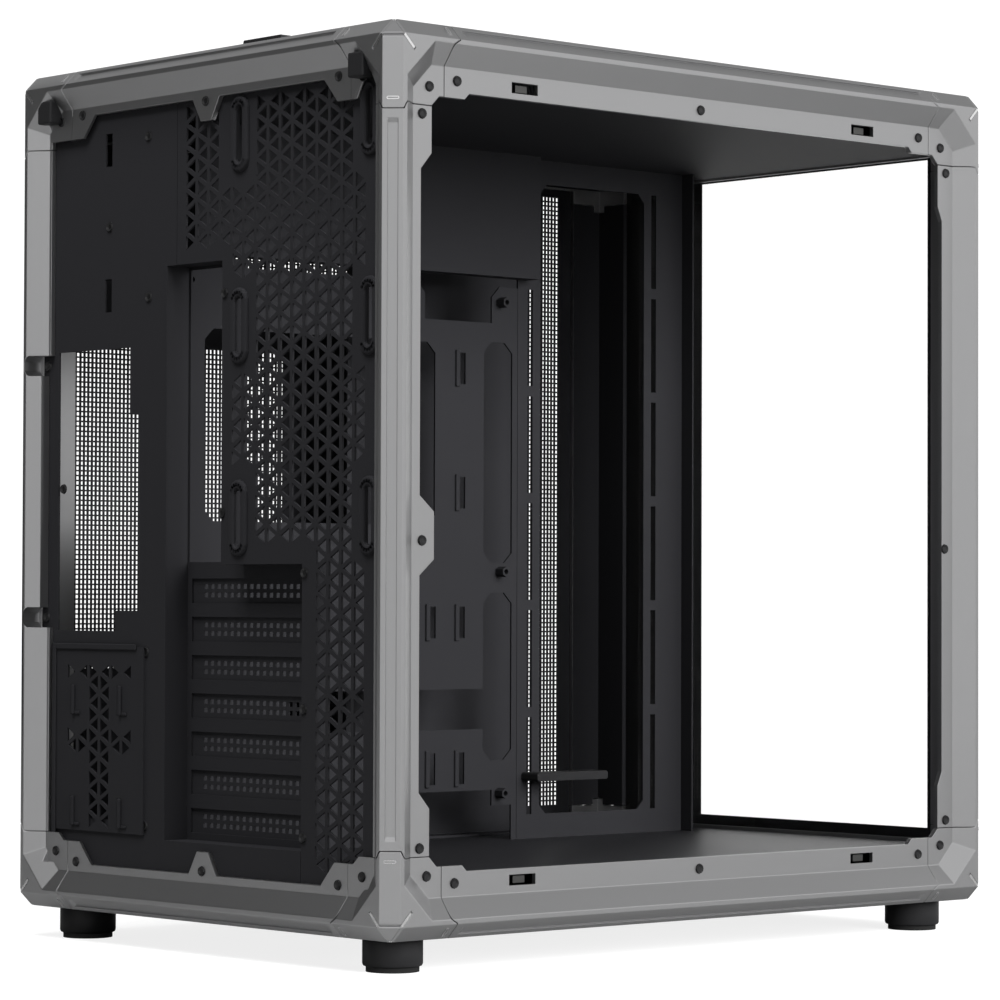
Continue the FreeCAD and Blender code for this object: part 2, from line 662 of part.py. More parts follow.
def pin_slots():
    slots = []
    for y_side, upper in itertools.product((-1, 1), (False, True)):
        middle = s.pin_slot_spread * y_side
        level = frame_top - s.pin_slot_inset if upper else frame_bottom + s.pin_slot_inset
        half_long = s.pin_slot_length / 2
        half_tall = s.pin_slot_height / 2
        slots.append(rect(middle - half_long, middle + half_long, level - half_tall, level + half_tall))
    return slots


def make_frame_blank():
    body = new_body("frame_blank", exported=False)
    outer = rect(-half_width, half_width, -half_depth, half_depth)
    whole = extrude(body, "Pad", "whole_block", "z", frame_bottom, 1, s.body_height, [outer])
    doc.recompute()
    bevel = body.newObject("PartDesign::Chamfer", "edge_bevels")
    bevel.Base = (whole, [f"Edge{i + 1}" for i in range(len(whole.Shape.Edges))])
    bind(bevel, Size=s.chamfer_leg)
    hollow = rect(-inner_x, inner_x, -inner_y, inner_y)
    extrude(body, "Pocket", "hollow", "z", inner_bottom, 1, inner_top - inner_bottom, [hollow])
    for face, (axis, level, toward, limits) in FACES.items():
        opening = face_opening(face, limits)
        extrude(body, "Pocket", f"{face}_opening", axis, level, toward, wall_inset, [opening])
    axis, level, toward, _ = FACES["left"]
    extrude(body, "Pocket", "pin_slots", axis, level, toward, wall_inset, pin_slots())
    return body


# Corner caps and bars, cut from the blank along stepped seams

SIGNS = list(itertools.product((-1, 1), repeat=3))
HALVES = (half_width, half_depth, s.body_height / 2)
MIDDLE_HEIGHT = frame_bottom + s.body_height / 2
SIDE_NAMES = ({-1: "left", 1: "right"}, {-1: "front", 1: "rear"}, {-1: "bottom", 1: "top"})


def unit(axis, sign=1):
    return FreeCAD.Vector(*[float(sign) if i == axis else 0.0 for i in range(3)])


def from_corner(signs, insets):
    """Point at given insets from the frame's sharp corner."""
    point = [(half - inset) * sign for half, inset, sign in zip(HALVES, insets, signs)]
    point[2] = point[2] + MIDDLE_HEIGHT
    return point


def bar_axes(signs, along):
    """Turned frame of a bar: across its 45 degree face, along it, and out of it."""
    first, second = [i for i in range(3) if i != along]
    outward = (unit(first, signs[first]) + unit(second, signs[second])).normalize()
    run = unit(along, -signs[along])
    return run.cross(outward), run, outward


def tongue(name, signs, along, gap):
    """Step of a cap's seam along one bar, reaching past the seam plane."""
    insets = [as_dim(0)] * 3
    across = s.facet_inset / math.sqrt(2)
    tip = s.chamfer_leg / math.sqrt(2)
    depth = wall_inset * math.sqrt(2) + s.flange_wall
    start = s.cap_length - s.tongue_length
    end = s.cap_length + s.tongue_length + gap
    widen = (across - tip) + across
    return centred_wedge(
        name, from_corner(signs, insets), bar_axes(signs, along), widen + gap, start, end, -depth, as_dim(0),
        tip + gap,
    )


def frustum(name, centre, axes, half_u, half_w):
    """Cutter with four sides at the recess slope, from outside a face down to its flange."""
    wedge = doc.addObject("Part::Wedge", name)
    lean = s.slope_run * 2
    bind(wedge, Ymin=-s.recess_depth, Ymax=s.recess_depth)
    bind(wedge, Xmin=-half_u - lean, Xmax=half_u + lean, Zmin=-half_w - lean, Zmax=half_w + lean)
    bind(wedge, X2min=-half_u, X2max=half_u, Z2min=-half_w, Z2max=half_w)
    wedge.Placement = FreeCAD.Placement(FreeCAD.Vector(), FreeCAD.Rotation(*axes, "ZYX"))
    bind(wedge, Placement__Base__x=centre[0], Placement__Base__y=centre[1], Placement__Base__z=centre[2])
    return wedge


def recess_cutter(face):
    """Sloped recess of one face; a square frustum set at 45 degrees clips its corners."""
    axis, level, toward, limits = FACES[face]
    normal = "xyz".index(axis)
    first, second = [i for i in range(3) if i != normal]
    low_u, high_u, low_v, high_v = inset_limits(limits, recess_inset)
    half_u = (high_u - low_u) / 2
    half_v = (high_v - low_v) / 2
    centre = [level] * 3
    centre[first] = (low_u + high_u) / 2
    centre[second] = (low_v + high_v) / 2
    inward = unit(normal, toward)
    plain = frustum(
        f"{face}_recess_sides", centre, (unit(first), inward, unit(first).cross(inward)), half_u, half_v,
    )
    slant = (unit(first) + unit(second)).normalize()
    half_square = (half_u + half_v - s.recess_clip) / math.sqrt(2)
    square = frustum(
        f"{face}_recess_corners", centre, (slant, inward, slant.cross(inward)), half_square, half_square,
    )
    return boolean("Common", f"{face}_recess", plain, square)


def cap_cutters(signs):
    """Cut face at the vertex, and a mitre groove on each of the three outer faces."""
    label = "".join("p" if sign > 0 else "n" for sign in signs)
    third = s.vertex_cut / 3
    out = FreeCAD.Vector(*signs).normalize()
    level = FreeCAD.Vector(signs[0], -signs[1], 0).normalize()
    reach = s.vertex_cut
    axes = (level, out.cross(level), out)
    vertex = centred_wedge(
        f"vertex_{label}", from_corner(signs, [third] * 3), axes, reach, -reach, reach, as_dim(0), reach,
    )
    cutters = [vertex]
    for axis in range(3):
        first, second = [i for i in range(3) if i != axis]
        inward = (unit(first, -signs[first]) + unit(second, -signs[second])).normalize()
        normal = unit(axis, signs[axis])
        end = (s.facet_inset + s.mitre_run) * math.sqrt(2)
        axes = (inward.cross(normal), inward, normal)
        cutters.append(centred_wedge(
            f"mitre_{label}_{axis}", from_corner(signs, [as_dim(0)] * 3), axes, s.mitre_width / 2,
            s.chamfer_leg, end, -s.mitre_depth, s.mitre_depth,
        ))
    return cutters


def corner_label(signs):
    return f"corner_cap_{SIDE_NAMES[1][signs[1]]}_{SIDE_NAMES[0][signs[0]]}_{SIDE_NAMES[2][signs[2]]}"


def bar_label(signs, along):
    if along == 2:
        return f"post_{SIDE_NAMES[1][signs[1]]}_{SIDE_NAMES[0][signs[0]]}"
    other = 1 if along == 0 else 0
    return f"rail_{SIDE_NAMES[other][signs[other]]}_{SIDE_NAMES[2][signs[2]]}"


def cap_block(signs, length):
    low = []
    high = []
    tip = from_corner(signs, [as_dim(0)] * 3)
    root = from_corner(signs, [length] * 3)
    for point, inner, sign in zip(tip, root, signs):
        low.append(inner if sign > 0 else point)
        high.append(point if sign > 0 else inner)
    return low, high


def make_caps(frame):
    for signs in SIGNS:
        label = corner_label(signs)
        region = [block(f"{label}_block", *cap_block(signs, s.cap_length))]
        for along in range(3):
            region.append(tongue(f"{label}_tongue_{along}", signs, along, as_dim(0)))
        name_part(boolean("Common", label, frame, fused(f"{label}_region", region)), label)


def bar_block(signs, along):
    """Block round one bar, between the seams of its two caps."""
    start = s.cap_length + s.seam_gap
    insets_out = [start if i == along else as_dim(0) for i in range(3)]
    insets_in = [start if i == along else s.cap_length for i in range(3)]
    near = from_corner(signs, insets_out)
    far_signs = [-sign if i == along else sign for i, sign in enumerate(signs)]
    far = from_corner(far_signs, insets_in)
    low = [a if (b.number > a.number) else b for a, b in zip(near, far)]
    high = [b if (b.number > a.number) else a for a, b in zip(near, far)]
    return low, high


def bar_groove(label, signs, along):
    """Shallow groove along the middle of a bar's 45 degree face, with sloped ends."""
    across, run, outward = bar_axes(signs, along)
    middle = [s.chamfer_leg / 2] * 3
    origin = from_corner(signs, middle)
    origin[along] = MIDDLE_HEIGHT if along == 2 else as_dim(0)
    seam = s.cap_length + s.tongue_length
    half_mouth = HALVES[along] - seam - s.groove_stop
    slant = s.groove_depth * 2
    half_width_across = s.groove_width / 2
    return centred_wedge(
        f"{label}_groove", origin, (run, -outward, across), half_mouth + slant, -s.groove_depth,
        s.groove_depth, -half_width_across, half_width_across, half_mouth - slant,
    )


def make_bars(frame):
    for along in range(3):
        first, second = [i for i in range(3) if i != along]
        for sign_first, sign_second in itertools.product((-1, 1), repeat=2):
            signs = [1, 1, 1]
            signs[first] = sign_first
            signs[second] = sign_second
            far_signs = list(signs)
            far_signs[along] = -1
            label = bar_label(signs, along)
            raw = boolean("Common", f"{label}_raw", frame, block(f"{label}_block", *bar_block(signs, along)))
            cutters = fused(f"{label}_cutters", [
                tongue(f"{label}_end", signs, along, s.seam_gap),
                tongue(f"{label}_far_end", far_signs, along, s.seam_gap),
                bar_groove(label, signs, along),
            ])
            name_part(boolean("Cut", label, raw, cutters), label)


blank = make_frame_blank()
corner_cuts = fused("corner_cuts", [cutter for signs in SIGNS for cutter in cap_cutters(signs)])
recesses = fused("recesses", [recess_cutter(face) for face in FACES])
frame = boolean("Cut", "frame_cut", boolean("Cut", "recessed_blank", blank, recesses), corner_cuts)
make_caps(frame)
make_bars(frame)


# Feet with rubber soles, under the flanges of the lower caps

def make_feet():
    zero = as_dim(0)
    for sign_x, sign_y in itertools.product((-1, 1), repeat=2):
        place = f"{SIDE_NAMES[1][sign_y]}_{SIDE_NAMES[0][sign_x]}"
        foot = new_body(f"foot_{place}")
        turned(foot, f"foot_{place}_turned", [
            (zero, s.sole_height), (s.foot_radius, s.sole_height), (s.foot_radius, frame_bottom),
            (zero, frame_bottom),
        ])
        spigot = [(-s.foot_neck, zero), (zero, -s.foot_neck), (s.foot_neck, zero), (zero, s.foot_neck)]
        extrude(foot, "Pad", f"foot_{place}_spigot", "z", frame_bottom, 1, s.recess_depth, [spigot])
        sole = new_body(f"foot_pad_{place}")
        turned(sole, f"foot_pad_{place}_turned", [
            (zero, zero), (s.sole_radius, zero), (s.sole_radius, s.sole_height), (zero, s.sole_height),
        ])
        for body in (foot, sole):
            bind(body, Placement__Base__x=(half_width - s.foot_inset_width) * sign_x)
            bind(body, Placement__Base__y=(half_depth - s.foot_inset_depth) * sign_y)


make_feet()


# Rear wall

edge_x = inner_x - s.sheet_margin
edge_low = inner_bottom + s.sheet_margin
edge_high = inner_top - s.sheet_margin
floor_back = inner_y - s.recess_set_back - s.sheet


def make_rear_panel():
    outline = [
        (edge_x, edge_low), (edge_x, edge_high), (vent_left + s.seam_gap, edge_high),
        (vent_left + s.seam_gap, io_top), (io_left, io_top), (io_left, slot_zone_bottom),
        (slot_zone_right + s.seam_gap, slot_zone_bottom), (slot_zone_right + s.seam_gap, edge_low),
    ]
    step_level = supply_top - s.supply_step_drop
    ear_level = supply_bottom + s.supply_ear_height
    supply = [
        (supply_right + s.supply_ear, supply_bottom), (supply_left, supply_bottom), (supply_left, supply_top),
        (supply_right + s.supply_step, supply_top), (supply_right + s.supply_step, step_level),
        (supply_right, step_level), (supply_right, ear_level), (supply_right + s.supply_ear, ear_level),
    ]
    drive = rect(
        drive_right + s.drive_rim, drive_left - s.drive_rim, drive_bottom + s.drive_rim,
        drive_top - s.drive_rim,
    )
    hooks = []
    hook_left = half_width - s.hook_side
    for middle in (frame_top - s.hook_drop, supply_top + s.hook_lift):
        half = s.hook_height / 2
        hooks.append(rect(hook_left - s.hook_width, hook_left, middle - half, middle + half))
    sheet_panel("rear_panel", "y", inner_y, -1, s.sheet, outline, [supply, drive, *hooks])


def make_vent_plate():
    outline = [
        (-edge_x, edge_low), (slot_zone_right, edge_low), (slot_zone_right, io_bottom),
        (io_right, io_bottom), (io_right, io_top), (vent_left, io_top), (vent_left, edge_high),
        (-edge_x, edge_high),
    ]
    margin = s.grille_margin.number
    low_u = s.rear_side_reach.number - half_width.number + margin
    low_v = (frame_bottom + s.rear_rail_reach).number + margin
    high_v = (frame_top - s.rear_rail_reach).number - margin
    zones = [
        (low_u, slot_zone_right.number - margin, low_v, high_v),
        (low_u, io_right.number - margin, io_bottom.number + margin, high_v),
        (low_u, vent_left.number - margin, io_top.number + margin, high_v),
    ]
    slots = []
    plain = []
    half_rib = s.fan_slot_width.number / 2 + s.fan_rib.number
    half_tall = s.fan_slot_length.number / 2 + s.fan_rib.number
    sheet_zones = [
        (-edge_x.number, slot_zone_right.number, edge_low.number, edge_high.number),
        (-edge_x.number, io_right.number, io_bottom.number, edge_high.number),
        (-edge_x.number, vent_left.number, io_top.number, edge_high.number),
    ]
    for column, row in itertools.product(range(2), range(round(s.fan_rows.number))):
        u = (s.fan_column_inset - half_width + s.fan_column_pitch * column).number
        v = (frame_top - s.fan_row_drop - s.fan_row_pitch * row).number
        rib = (u - half_rib, u + half_rib, v - half_tall, v + half_tall)
        if in_zone([(rib[0], rib[2]), (rib[1], rib[3])], sheet_zones):
            slots.append(slot_wire(u, v, s.fan_slot_length.number, s.fan_slot_width.number))
            plain.append(rib)
    triangles = triangle_wires(zones, plain, s.triangle_side.number, s.triangle_bar.number)
    perforated("rear_vent_plate", "y", inner_y, -1, s.sheet, outline, [*slots, *triangles])


def make_slot_bracket():
    """Recessed bracket: side walls round the sockets and slots, and a floor with their openings."""
    body = new_body("slot_bracket")
    wall = s.sheet
    seat = inner_y - s.sheet

    def recess(grow):
        return [
            (slot_zone_right - grow, slot_zone_bottom - grow), (io_left + grow, slot_zone_bottom - grow),
            (io_left + grow, io_top + grow), (io_right - grow, io_top + grow),
            (io_right - grow, io_bottom + grow), (slot_zone_right - grow, io_bottom + grow),
        ]

    extrude(body, "Pad", "bracket_block", "y", floor_back, 1, seat - floor_back, [recess(wall)])
    extrude(body, "Pocket", "bracket_well", "y", seat, -1, seat - floor_back - s.sheet, [recess(as_dim(0))])
    rim = s.aperture_edge
    openings = [rect(io_right + rim, io_left - rim, io_bottom + rim, io_top - rim)]
    for number in range(slot_count):
        middle = slot_first - s.slot_pitch * number
        half = s.slot_opening / 2
        openings.append(rect(slot_right, slot_left, middle - half, middle + half))
    extrude(body, "Pocket", "bracket_openings", "y", floor_back, 1, s.sheet, openings)


def make_slot_covers():
    left = slot_left + s.cover_overlap_left
    right = slot_right - s.cover_overlap_right
    for number in range(slot_count):
        label = f"slot_cover_{number + 1}"
        middle = slot_first - s.slot_pitch * number
        low = middle - s.cover_height / 2
        high = middle + s.cover_height / 2
        body = new_body(label)
        web = s.cover_gap_web
        columns = round(s.cover_gaps.number)
        pitch = (slot_left - slot_right) / columns
        gaps = []
        for column, row in itertools.product(range(columns), (-1, 1)):
            start = slot_right + pitch * column + web / 2
            level = middle + (s.cover_gap_height + web) / 2 * row
            half = s.cover_gap_height / 2
            gaps.append(rect(start, start + pitch - web, level - half, level + half))
        strip = [rect(right, left, low, high), *gaps]
        extrude(body, "Pad", f"{label}_sheet", "y", floor_back, -1, s.cover_sheet, strip)
        lip = rect(left - s.cover_sheet, left, low, high)
        extrude(body, "Pad", f"{label}_lip", "y", floor_back - s.cover_sheet, -1, s.cover_lip, [lip])


def make_drive_access():
    outline = rect(drive_right, drive_left, drive_bottom, drive_top)
    rim = (s.drive_rim + s.sheet_margin).number
    zone = (
        drive_right.number + rim, drive_left.number - rim, drive_bottom.number + rim,
        drive_top.number - rim,
    )
    triangles = triangle_wires([zone], [], s.triangle_side.number, s.triangle_bar.number)
    perforated("drive_access_plate", "y", inner_y, 1, s.sheet, outline, triangles)


def make_clips():
    """Clips on the rear flange of the upper caps, shaped to the recess they sit in."""
    flange = half_depth - s.recess_depth
    top = frame_top - s.clip_top_inset
    places = {"left": s.clip_left_inset - half_width, "right": half_width - s.clip_right_inset}
    for side, middle in places.items():
        low = (middle - s.clip_width / 2, flange, top - s.clip_height)
        high = (middle + s.clip_width / 2, flange + s.clip_depth, top)
        label = f"rear_clip_{side}"
        name_part(boolean("Cut", label, block(f"{label}_block", low, high), frame), label)


make_rear_panel()
make_vent_plate()
make_slot_bracket()
make_slot_covers()
make_drive_access()
make_clips()


# Inner walls

def make_tray():
    """Board tray: a notch, cut-outs and tie-down slots, all placed from the board's standoffs."""
    clip = s.notch_clip
    notch_rear = column_front + s.notch_behind
    notch_front = notch_rear - s.notch_length
    notch_bottom = row_top - s.notch_drop
    outline = [
        (inner_y - s.sheet, chamber_floor), (inner_y - s.sheet, tray_top), (notch_rear + clip, tray_top),
        (notch_rear, tray_top - clip), (notch_rear, notch_bottom), (notch_front, notch_bottom),
        (notch_front, tray_top - clip), (notch_front - clip, tray_top), (tray_front, tray_top),
        (tray_front, chamber_floor), *tray_foot_notch(),
    ]
    cable_rear = column_front + s.cable_behind
    cable_front = cable_rear - s.cable_width
    low_end = row_low + s.cable_lower_lift
    high_end = row_mid - s.cable_lower_drop
    gap_rear = cable_rear + s.low_gap_length
    gap_bottom = row_low + s.low_gap_lift
    gap_top = gap_bottom + s.low_gap_height
    holes = [
        clipped_rect(
            column_front + s.cooler_behind, column_rear - s.cooler_ahead, row_mid + s.cooler_lift,
            row_top - s.cooler_drop, clip,
        ),
        clipped_rect(
            cable_front, cable_rear, row_mid + s.cable_upper_lift, row_top - s.cable_upper_drop, clip,
        ),
        [
            (cable_front + clip, low_end), (cable_rear - clip, low_end), (cable_rear, low_end + clip),
            (cable_rear, gap_bottom), (gap_rear, gap_bottom), (gap_rear, gap_top), (cable_rear, gap_top),
            (cable_rear, high_end - clip), (cable_rear - clip, high_end), (cable_front + clip, high_end),
            (cable_front, high_end - clip), (cable_front, low_end + clip),
        ],
    ]
    tie_levels = [
        row_top - s.tie_drop, row_mid + s.tie_over_middle, row_mid - s.tie_under_middle, row_low + s.tie_lift,
    ]
    ties = [(column_front + s.tie_middle, level) for level in tie_levels]
    ties += [(column_front + s.tie_rear, level) for level in tie_levels[2:]]
    half_wide = s.tie_width / 2
    half_tall = s.tie_height / 2
    for y, z in ties:
        holes.append(rect(y - half_wide, y + half_wide, z - half_tall, z + half_tall))
    body = new_body("tray_sheet", exported=False)
    extrude(body, "Pad", "tray_blank", "x", s.tray_face, 1, s.sheet, [outline, *holes])
    name_part(fused("motherboard_tray", [body, make_standoffs()]), "motherboard_tray")


def tray_foot_notch():
    """Cable notch in the tray's lower edge, stepped round the lowest front standoff."""
    front = column_front - s.foot_notch_ahead
    rear = front + s.foot_notch_length
    step = column_front + s.foot_tab_behind
    tab = row_low - s.foot_tab_drop
    top = row_low + s.foot_notch_lift
    return [
        (front, chamber_floor), (front, tab), (step, tab), (step, top), (rear, top), (rear, chamber_floor),
    ]


def make_standoffs():
    """Hexagonal spacers pressed in the tray, in the three columns and rows of a full-size board."""
    hexagon = [(math.cos(math.radians(60 * i)), math.sin(math.radians(60 * i))) for i in range(6)]
    radius = s.standoff_radius.number
    outer = polygon_wire([(radius * u, radius * v) for u, v in hexagon])
    bore = Part.Wire(Part.makeCircle(s.standoff_bore.number))
    ring = Part.makeFace([outer, bore], "Part::FaceMakerBullseye")
    spacer = ring.extrude(FreeCAD.Vector(0, 0, s.standoff_height.number))
    turn = FreeCAD.Rotation(FreeCAD.Vector(0, 1, 0), -90)
    spacers = []
    columns = (column_front, column_mid, column_rear)
    for column, row in itertools.product(columns, (row_low, row_mid, row_top)):
        copy = spacer.copy()
        foot = FreeCAD.Vector(s.tray_face.number, column.number, row.number)
        copy.Placement = FreeCAD.Placement(foot, turn)
        spacers.append(copy)
    item = doc.addObject("Part::Feature", "standoffs")
    item.Shape = Part.makeCompound(spacers)
    return item


def make_guide_cover():
    face = s.tray_face - s.guide_from_tray
    front = tray_front - s.guide_ahead
    rear = floor_back - s.guide_clearance
    bottom = tray_top + s.guide_gap
    body = sheet_panel("air_guide_cover", "x", face, 1, s.sheet, rect(front, rear, bottom, chamber_ceiling))
    fold = rect(front, rear, bottom, bottom + s.sheet)
    start = face + s.sheet
    extrude(body, "Pad", "guide_fold", "x", start, 1, s.tray_face - start, [fold])


def make_side_bracket():
    """Upright bracket with a tall opening between two columns of fan slots and a folded front edge."""
    rear = tray_front - s.side_gap
    front = s.side_bracket_inset - half_depth
    outline = rect(front, rear, chamber_floor, chamber_ceiling)
    low = chamber_floor + s.side_open_edge
    high = chamber_ceiling - s.side_open_edge
    open_rear = tray_front - s.side_open_ahead
    open_front = front + s.side_open_behind
    holes = [clipped_rect(open_front, open_rear, low, high, s.side_open_clip)]
    rows = round(s.side_slot_rows.number)
    pitch = (high - low + s.side_slot_gap) / rows
    half = s.side_slot_width / 2
    columns = (open_rear + s.side_slot_margin, open_front - s.side_slot_margin)
    for middle, row in itertools.product(columns, range(rows)):
        start = low + pitch * row
        holes.append(rect(middle - half, middle + half, start, start + pitch - s.side_slot_gap))
    body = sheet_panel("side_fan_bracket", "x", s.tray_face, 1, s.sheet, outline, holes)
    fold = rect(front, front + s.sheet, chamber_floor, chamber_ceiling)
    extrude(body, "Pad", "side_bracket_fold", "x", s.tray_face, -1, s.side_fold, [fold])


def make_drive_plate():
    face = s.tray_face + s.drive_plate_from_tray
    front = tray_front - s.drive_plate_ahead
    rear = half_depth - s.drive_plate_inset
    outline = rect(front, rear, chamber_floor, chamber_ceiling - s.drive_plate_drop)
    body = sheet_panel("drive_plate", "x", face, 1, s.sheet, outline)
    foot = rect(front, rear, chamber_floor, chamber_floor + s.sheet)
    extrude(body, "Pad", "drive_plate_foot_fold", "x", face, -1, s.drive_plate_foot, [foot])


def make_arm():
    half = s.arm_thickness / 2
    rear = tray_front - s.arm_ahead
    level = chamber_floor + s.arm_lift
    outline = clipped_rect(rear - s.arm_length, rear, level - half, level + half, s.arm_clip)
    sheet_panel("bracket_arm", "x", s.tray_face, -1, s.arm_width, outline)


def make_floor_and_ceiling():
    """Inner bottom and top panels, folded at the front and rear to reach the frame's flanges."""
    rear = inner_y - s.sheet - s.sheet_margin
    front = -inner_y + s.sheet_margin
    outline = rect(-edge_x, edge_x, front, rear)
    folds = [rect(-edge_x, edge_x, front, front + s.sheet), rect(-edge_x, edge_x, rear - s.sheet, rear)]
    floor = sheet_panel("bottom_panel", "z", chamber_floor, -1, s.sheet, outline)
    under = chamber_floor - s.sheet
    extrude(floor, "Pad", "bottom_folds", "z", under, -1, under - inner_bottom, folds)
    ceiling = sheet_panel("top_panel", "z", chamber_ceiling, 1, s.sheet, outline)
    over = chamber_ceiling + s.sheet
    extrude(ceiling, "Pad", "top_folds", "z", over, 1, inner_top - over, folds)


make_tray()
make_guide_cover()
make_side_bracket()
make_drive_plate()
make_arm()
make_floor_and_ceiling()


# Outer panels, each lying on a flange in the recess of its face

flange_top = frame_top - s.recess_depth
switch_front = panel_inset - half_depth
switch_rear = switch_front + s.switch_depth


def make_front_glass():
    _, _, _, limits = FACES["front"]
    outline = clipped_rect(*inset_limits(limits, panel_inset), s.recess_clip)
    sheet_panel("front_glass", "y", s.recess_depth - half_depth, -1, s.glass, outline)


def make_right_panel():
    _, _, _, limits = FACES["right"]
    outline = clipped_rect(*inset_limits(limits, panel_inset), s.recess_clip)
    low_y, high_y, low_z, high_z = limits
    gaps = rectangle_grid(
        (low_y + s.mesh_front_inset).number, (high_y - s.mesh_rear_inset).number,
        (low_z + s.mesh_bottom_inset).number, (high_z - s.mesh_top_inset).number,
        round(s.mesh_columns.number), round(s.mesh_rows.number), s.mesh_web.number,
    )
    perforated("right_panel", "x", half_width - s.recess_depth, 1, s.mesh_sheet, outline, gaps)


def make_top_cover():
    side = half_width - panel_inset
    rear = half_depth - panel_inset
    front = switch_rear + s.cover_gap
    outline = clipped_rect(-side, side, front, rear, s.recess_clip)
    margin = (s.rail_reach - panel_inset).number * 2
    tab_room = s.tab_depth.number
    gaps = rectangle_grid(
        -side.number + margin, side.number - margin, front.number + margin,
        rear.number - margin - tab_room, round(s.cover_columns.number), round(s.cover_rows.number),
        s.mesh_web.number,
    )
    perforated("top_cover", "z", flange_top, 1, s.cover_plate, outline, gaps)
    base = flange_top + s.cover_plate
    half = s.tab_width / 2
    slant = s.tab_depth / 2
    profile = [
        (s.tab_middle - half, base), (s.tab_middle + half, base),
        (s.tab_middle + half - slant, base + s.tab_rise), (s.tab_middle - half + slant, base + s.tab_rise),
    ]
    tab = new_body("cover_pull_tab")
    extrude(tab, "Pad", "pull_tab_sheet", "y", rear, -1, s.tab_depth, [profile])


def make_bottom_filter():
    side = s.filter_half_width
    rear = half_depth - panel_inset
    outline = rect(-side, side, -rear, rear)
    sheet_panel("bottom_filter", "z", frame_bottom + s.recess_depth, -1, s.filter_sheet, outline)


def make_switch_panel():
    """Strip with ports along the front of the top recess, and the power button in its bore."""
    middle = (switch_front + switch_rear) / 2
    side = s.switch_half_width
    body = new_body("switch_panel")
    sketch = new_sketch(body, "switch_panel_strip", "z", flange_top)
    draw_outline(sketch, clipped_rect(-side, side, switch_front, switch_rear, s.port_height / 2))
    draw_circle(sketch, s.button_middle, middle, s.button_radius + s.button_clearance)
    finish_extrusion(body, "Pad", "switch_panel_sheet", "z", sketch, 1, s.switch_height)
    large = (s.port_width / 2, s.port_height / 2)
    small = (s.small_port_width / 2, s.small_port_height / 2)
    ports = []
    for number, (half_wide, half_tall) in enumerate((large, large, small)):
        at = s.button_middle + s.port_first + s.port_pitch * number
        ports.append(rect(at - half_wide, at + half_wide, middle - half_tall, middle + half_tall))
    top = flange_top + s.switch_height
    extrude(body, "Pocket", "port_recesses", "z", top, -1, s.port_depth, ports)
    button = new_body("power_button")
    zero = as_dim(0)
    foot = flange_top + s.button_travel + s.button_clearance
    head = flange_top + s.switch_height + s.button_proud
    turned(button, "power_button_turned", [
        (zero, foot), (s.button_radius, foot), (s.button_radius, head), (zero, head),
    ])
    bind(button, Placement__Base__x=s.button_middle, Placement__Base__y=middle)


def make_catches():
    """Spring catches behind the pin slots of the left rails."""
    catches = []
    for sign_y, upper in itertools.product((-1, 1), (False, True)):
        middle = s.pin_slot_spread * sign_y
        level = frame_top - s.pin_slot_inset if upper else frame_bottom + s.pin_slot_inset
        low = (-inner_x, middle - s.catch_length / 2, level - s.catch_height / 2)
        high = (s.catch_depth - inner_x, middle + s.catch_length / 2, level + s.catch_height / 2)
        catches.append(block(f"catch_{len(catches)}", low, high))
    item = doc.addObject("Part::Compound", "panel_catches")
    item.Links = catches
    name_part(item, "panel_catches")


make_front_glass()
make_right_panel()
make_top_cover()
make_bottom_filter()
make_switch_panel()
make_catches()


# Check every object and write the pieces

doc.recompute()
for item in doc.Objects:
    if "Invalid" in item.State or "Error" in item.State:
        raise RuntimeError(f"{item.Name} failed: {item.State}")
os.makedirs("parts", exist_ok=True)
for item in parts:
    if item.Shape.isNull() or not item.Shape.isValid():
        raise RuntimeError(f"{item.Label} has no valid shape")
for item in parts:
    item.Shape.exportStep(f"parts/{item.Label}.step")
print(f"{len(parts)} pieces written")
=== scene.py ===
import itertools
import json
import math

import bmesh
import bpy
from mathutils import Matrix, Vector


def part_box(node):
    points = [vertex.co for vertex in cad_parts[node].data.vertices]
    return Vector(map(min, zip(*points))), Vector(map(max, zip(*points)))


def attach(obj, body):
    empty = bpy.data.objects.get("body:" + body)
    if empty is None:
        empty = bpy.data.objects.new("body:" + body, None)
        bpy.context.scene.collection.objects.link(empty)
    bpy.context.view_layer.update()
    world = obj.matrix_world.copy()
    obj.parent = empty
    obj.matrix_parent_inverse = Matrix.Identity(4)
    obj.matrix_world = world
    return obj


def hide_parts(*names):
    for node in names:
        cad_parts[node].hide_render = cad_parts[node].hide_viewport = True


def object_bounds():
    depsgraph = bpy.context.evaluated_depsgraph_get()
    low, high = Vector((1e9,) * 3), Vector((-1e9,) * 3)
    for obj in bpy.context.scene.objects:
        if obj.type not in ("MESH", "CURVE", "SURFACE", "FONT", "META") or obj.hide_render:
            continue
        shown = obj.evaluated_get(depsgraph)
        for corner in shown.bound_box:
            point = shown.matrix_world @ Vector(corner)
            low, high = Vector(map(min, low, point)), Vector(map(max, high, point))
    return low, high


# Looks of a computer case with its left side open: a satin aluminium frame, black sheet steel inside, a fine
# triangle grille at the rear, a perforated right side and a glass front.
# Lengths are metres; +Z is up, +Y is the rear and -X is left, the open side.

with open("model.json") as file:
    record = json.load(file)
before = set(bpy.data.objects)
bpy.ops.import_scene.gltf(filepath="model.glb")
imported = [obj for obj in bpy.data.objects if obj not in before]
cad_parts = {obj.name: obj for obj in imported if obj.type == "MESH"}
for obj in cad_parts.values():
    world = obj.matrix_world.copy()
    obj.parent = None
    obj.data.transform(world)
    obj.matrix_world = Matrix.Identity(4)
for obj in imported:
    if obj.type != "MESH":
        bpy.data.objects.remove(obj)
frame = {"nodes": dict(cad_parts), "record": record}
cad_low, cad_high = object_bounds()
nodes = frame["nodes"]
studio = bpy.context.scene

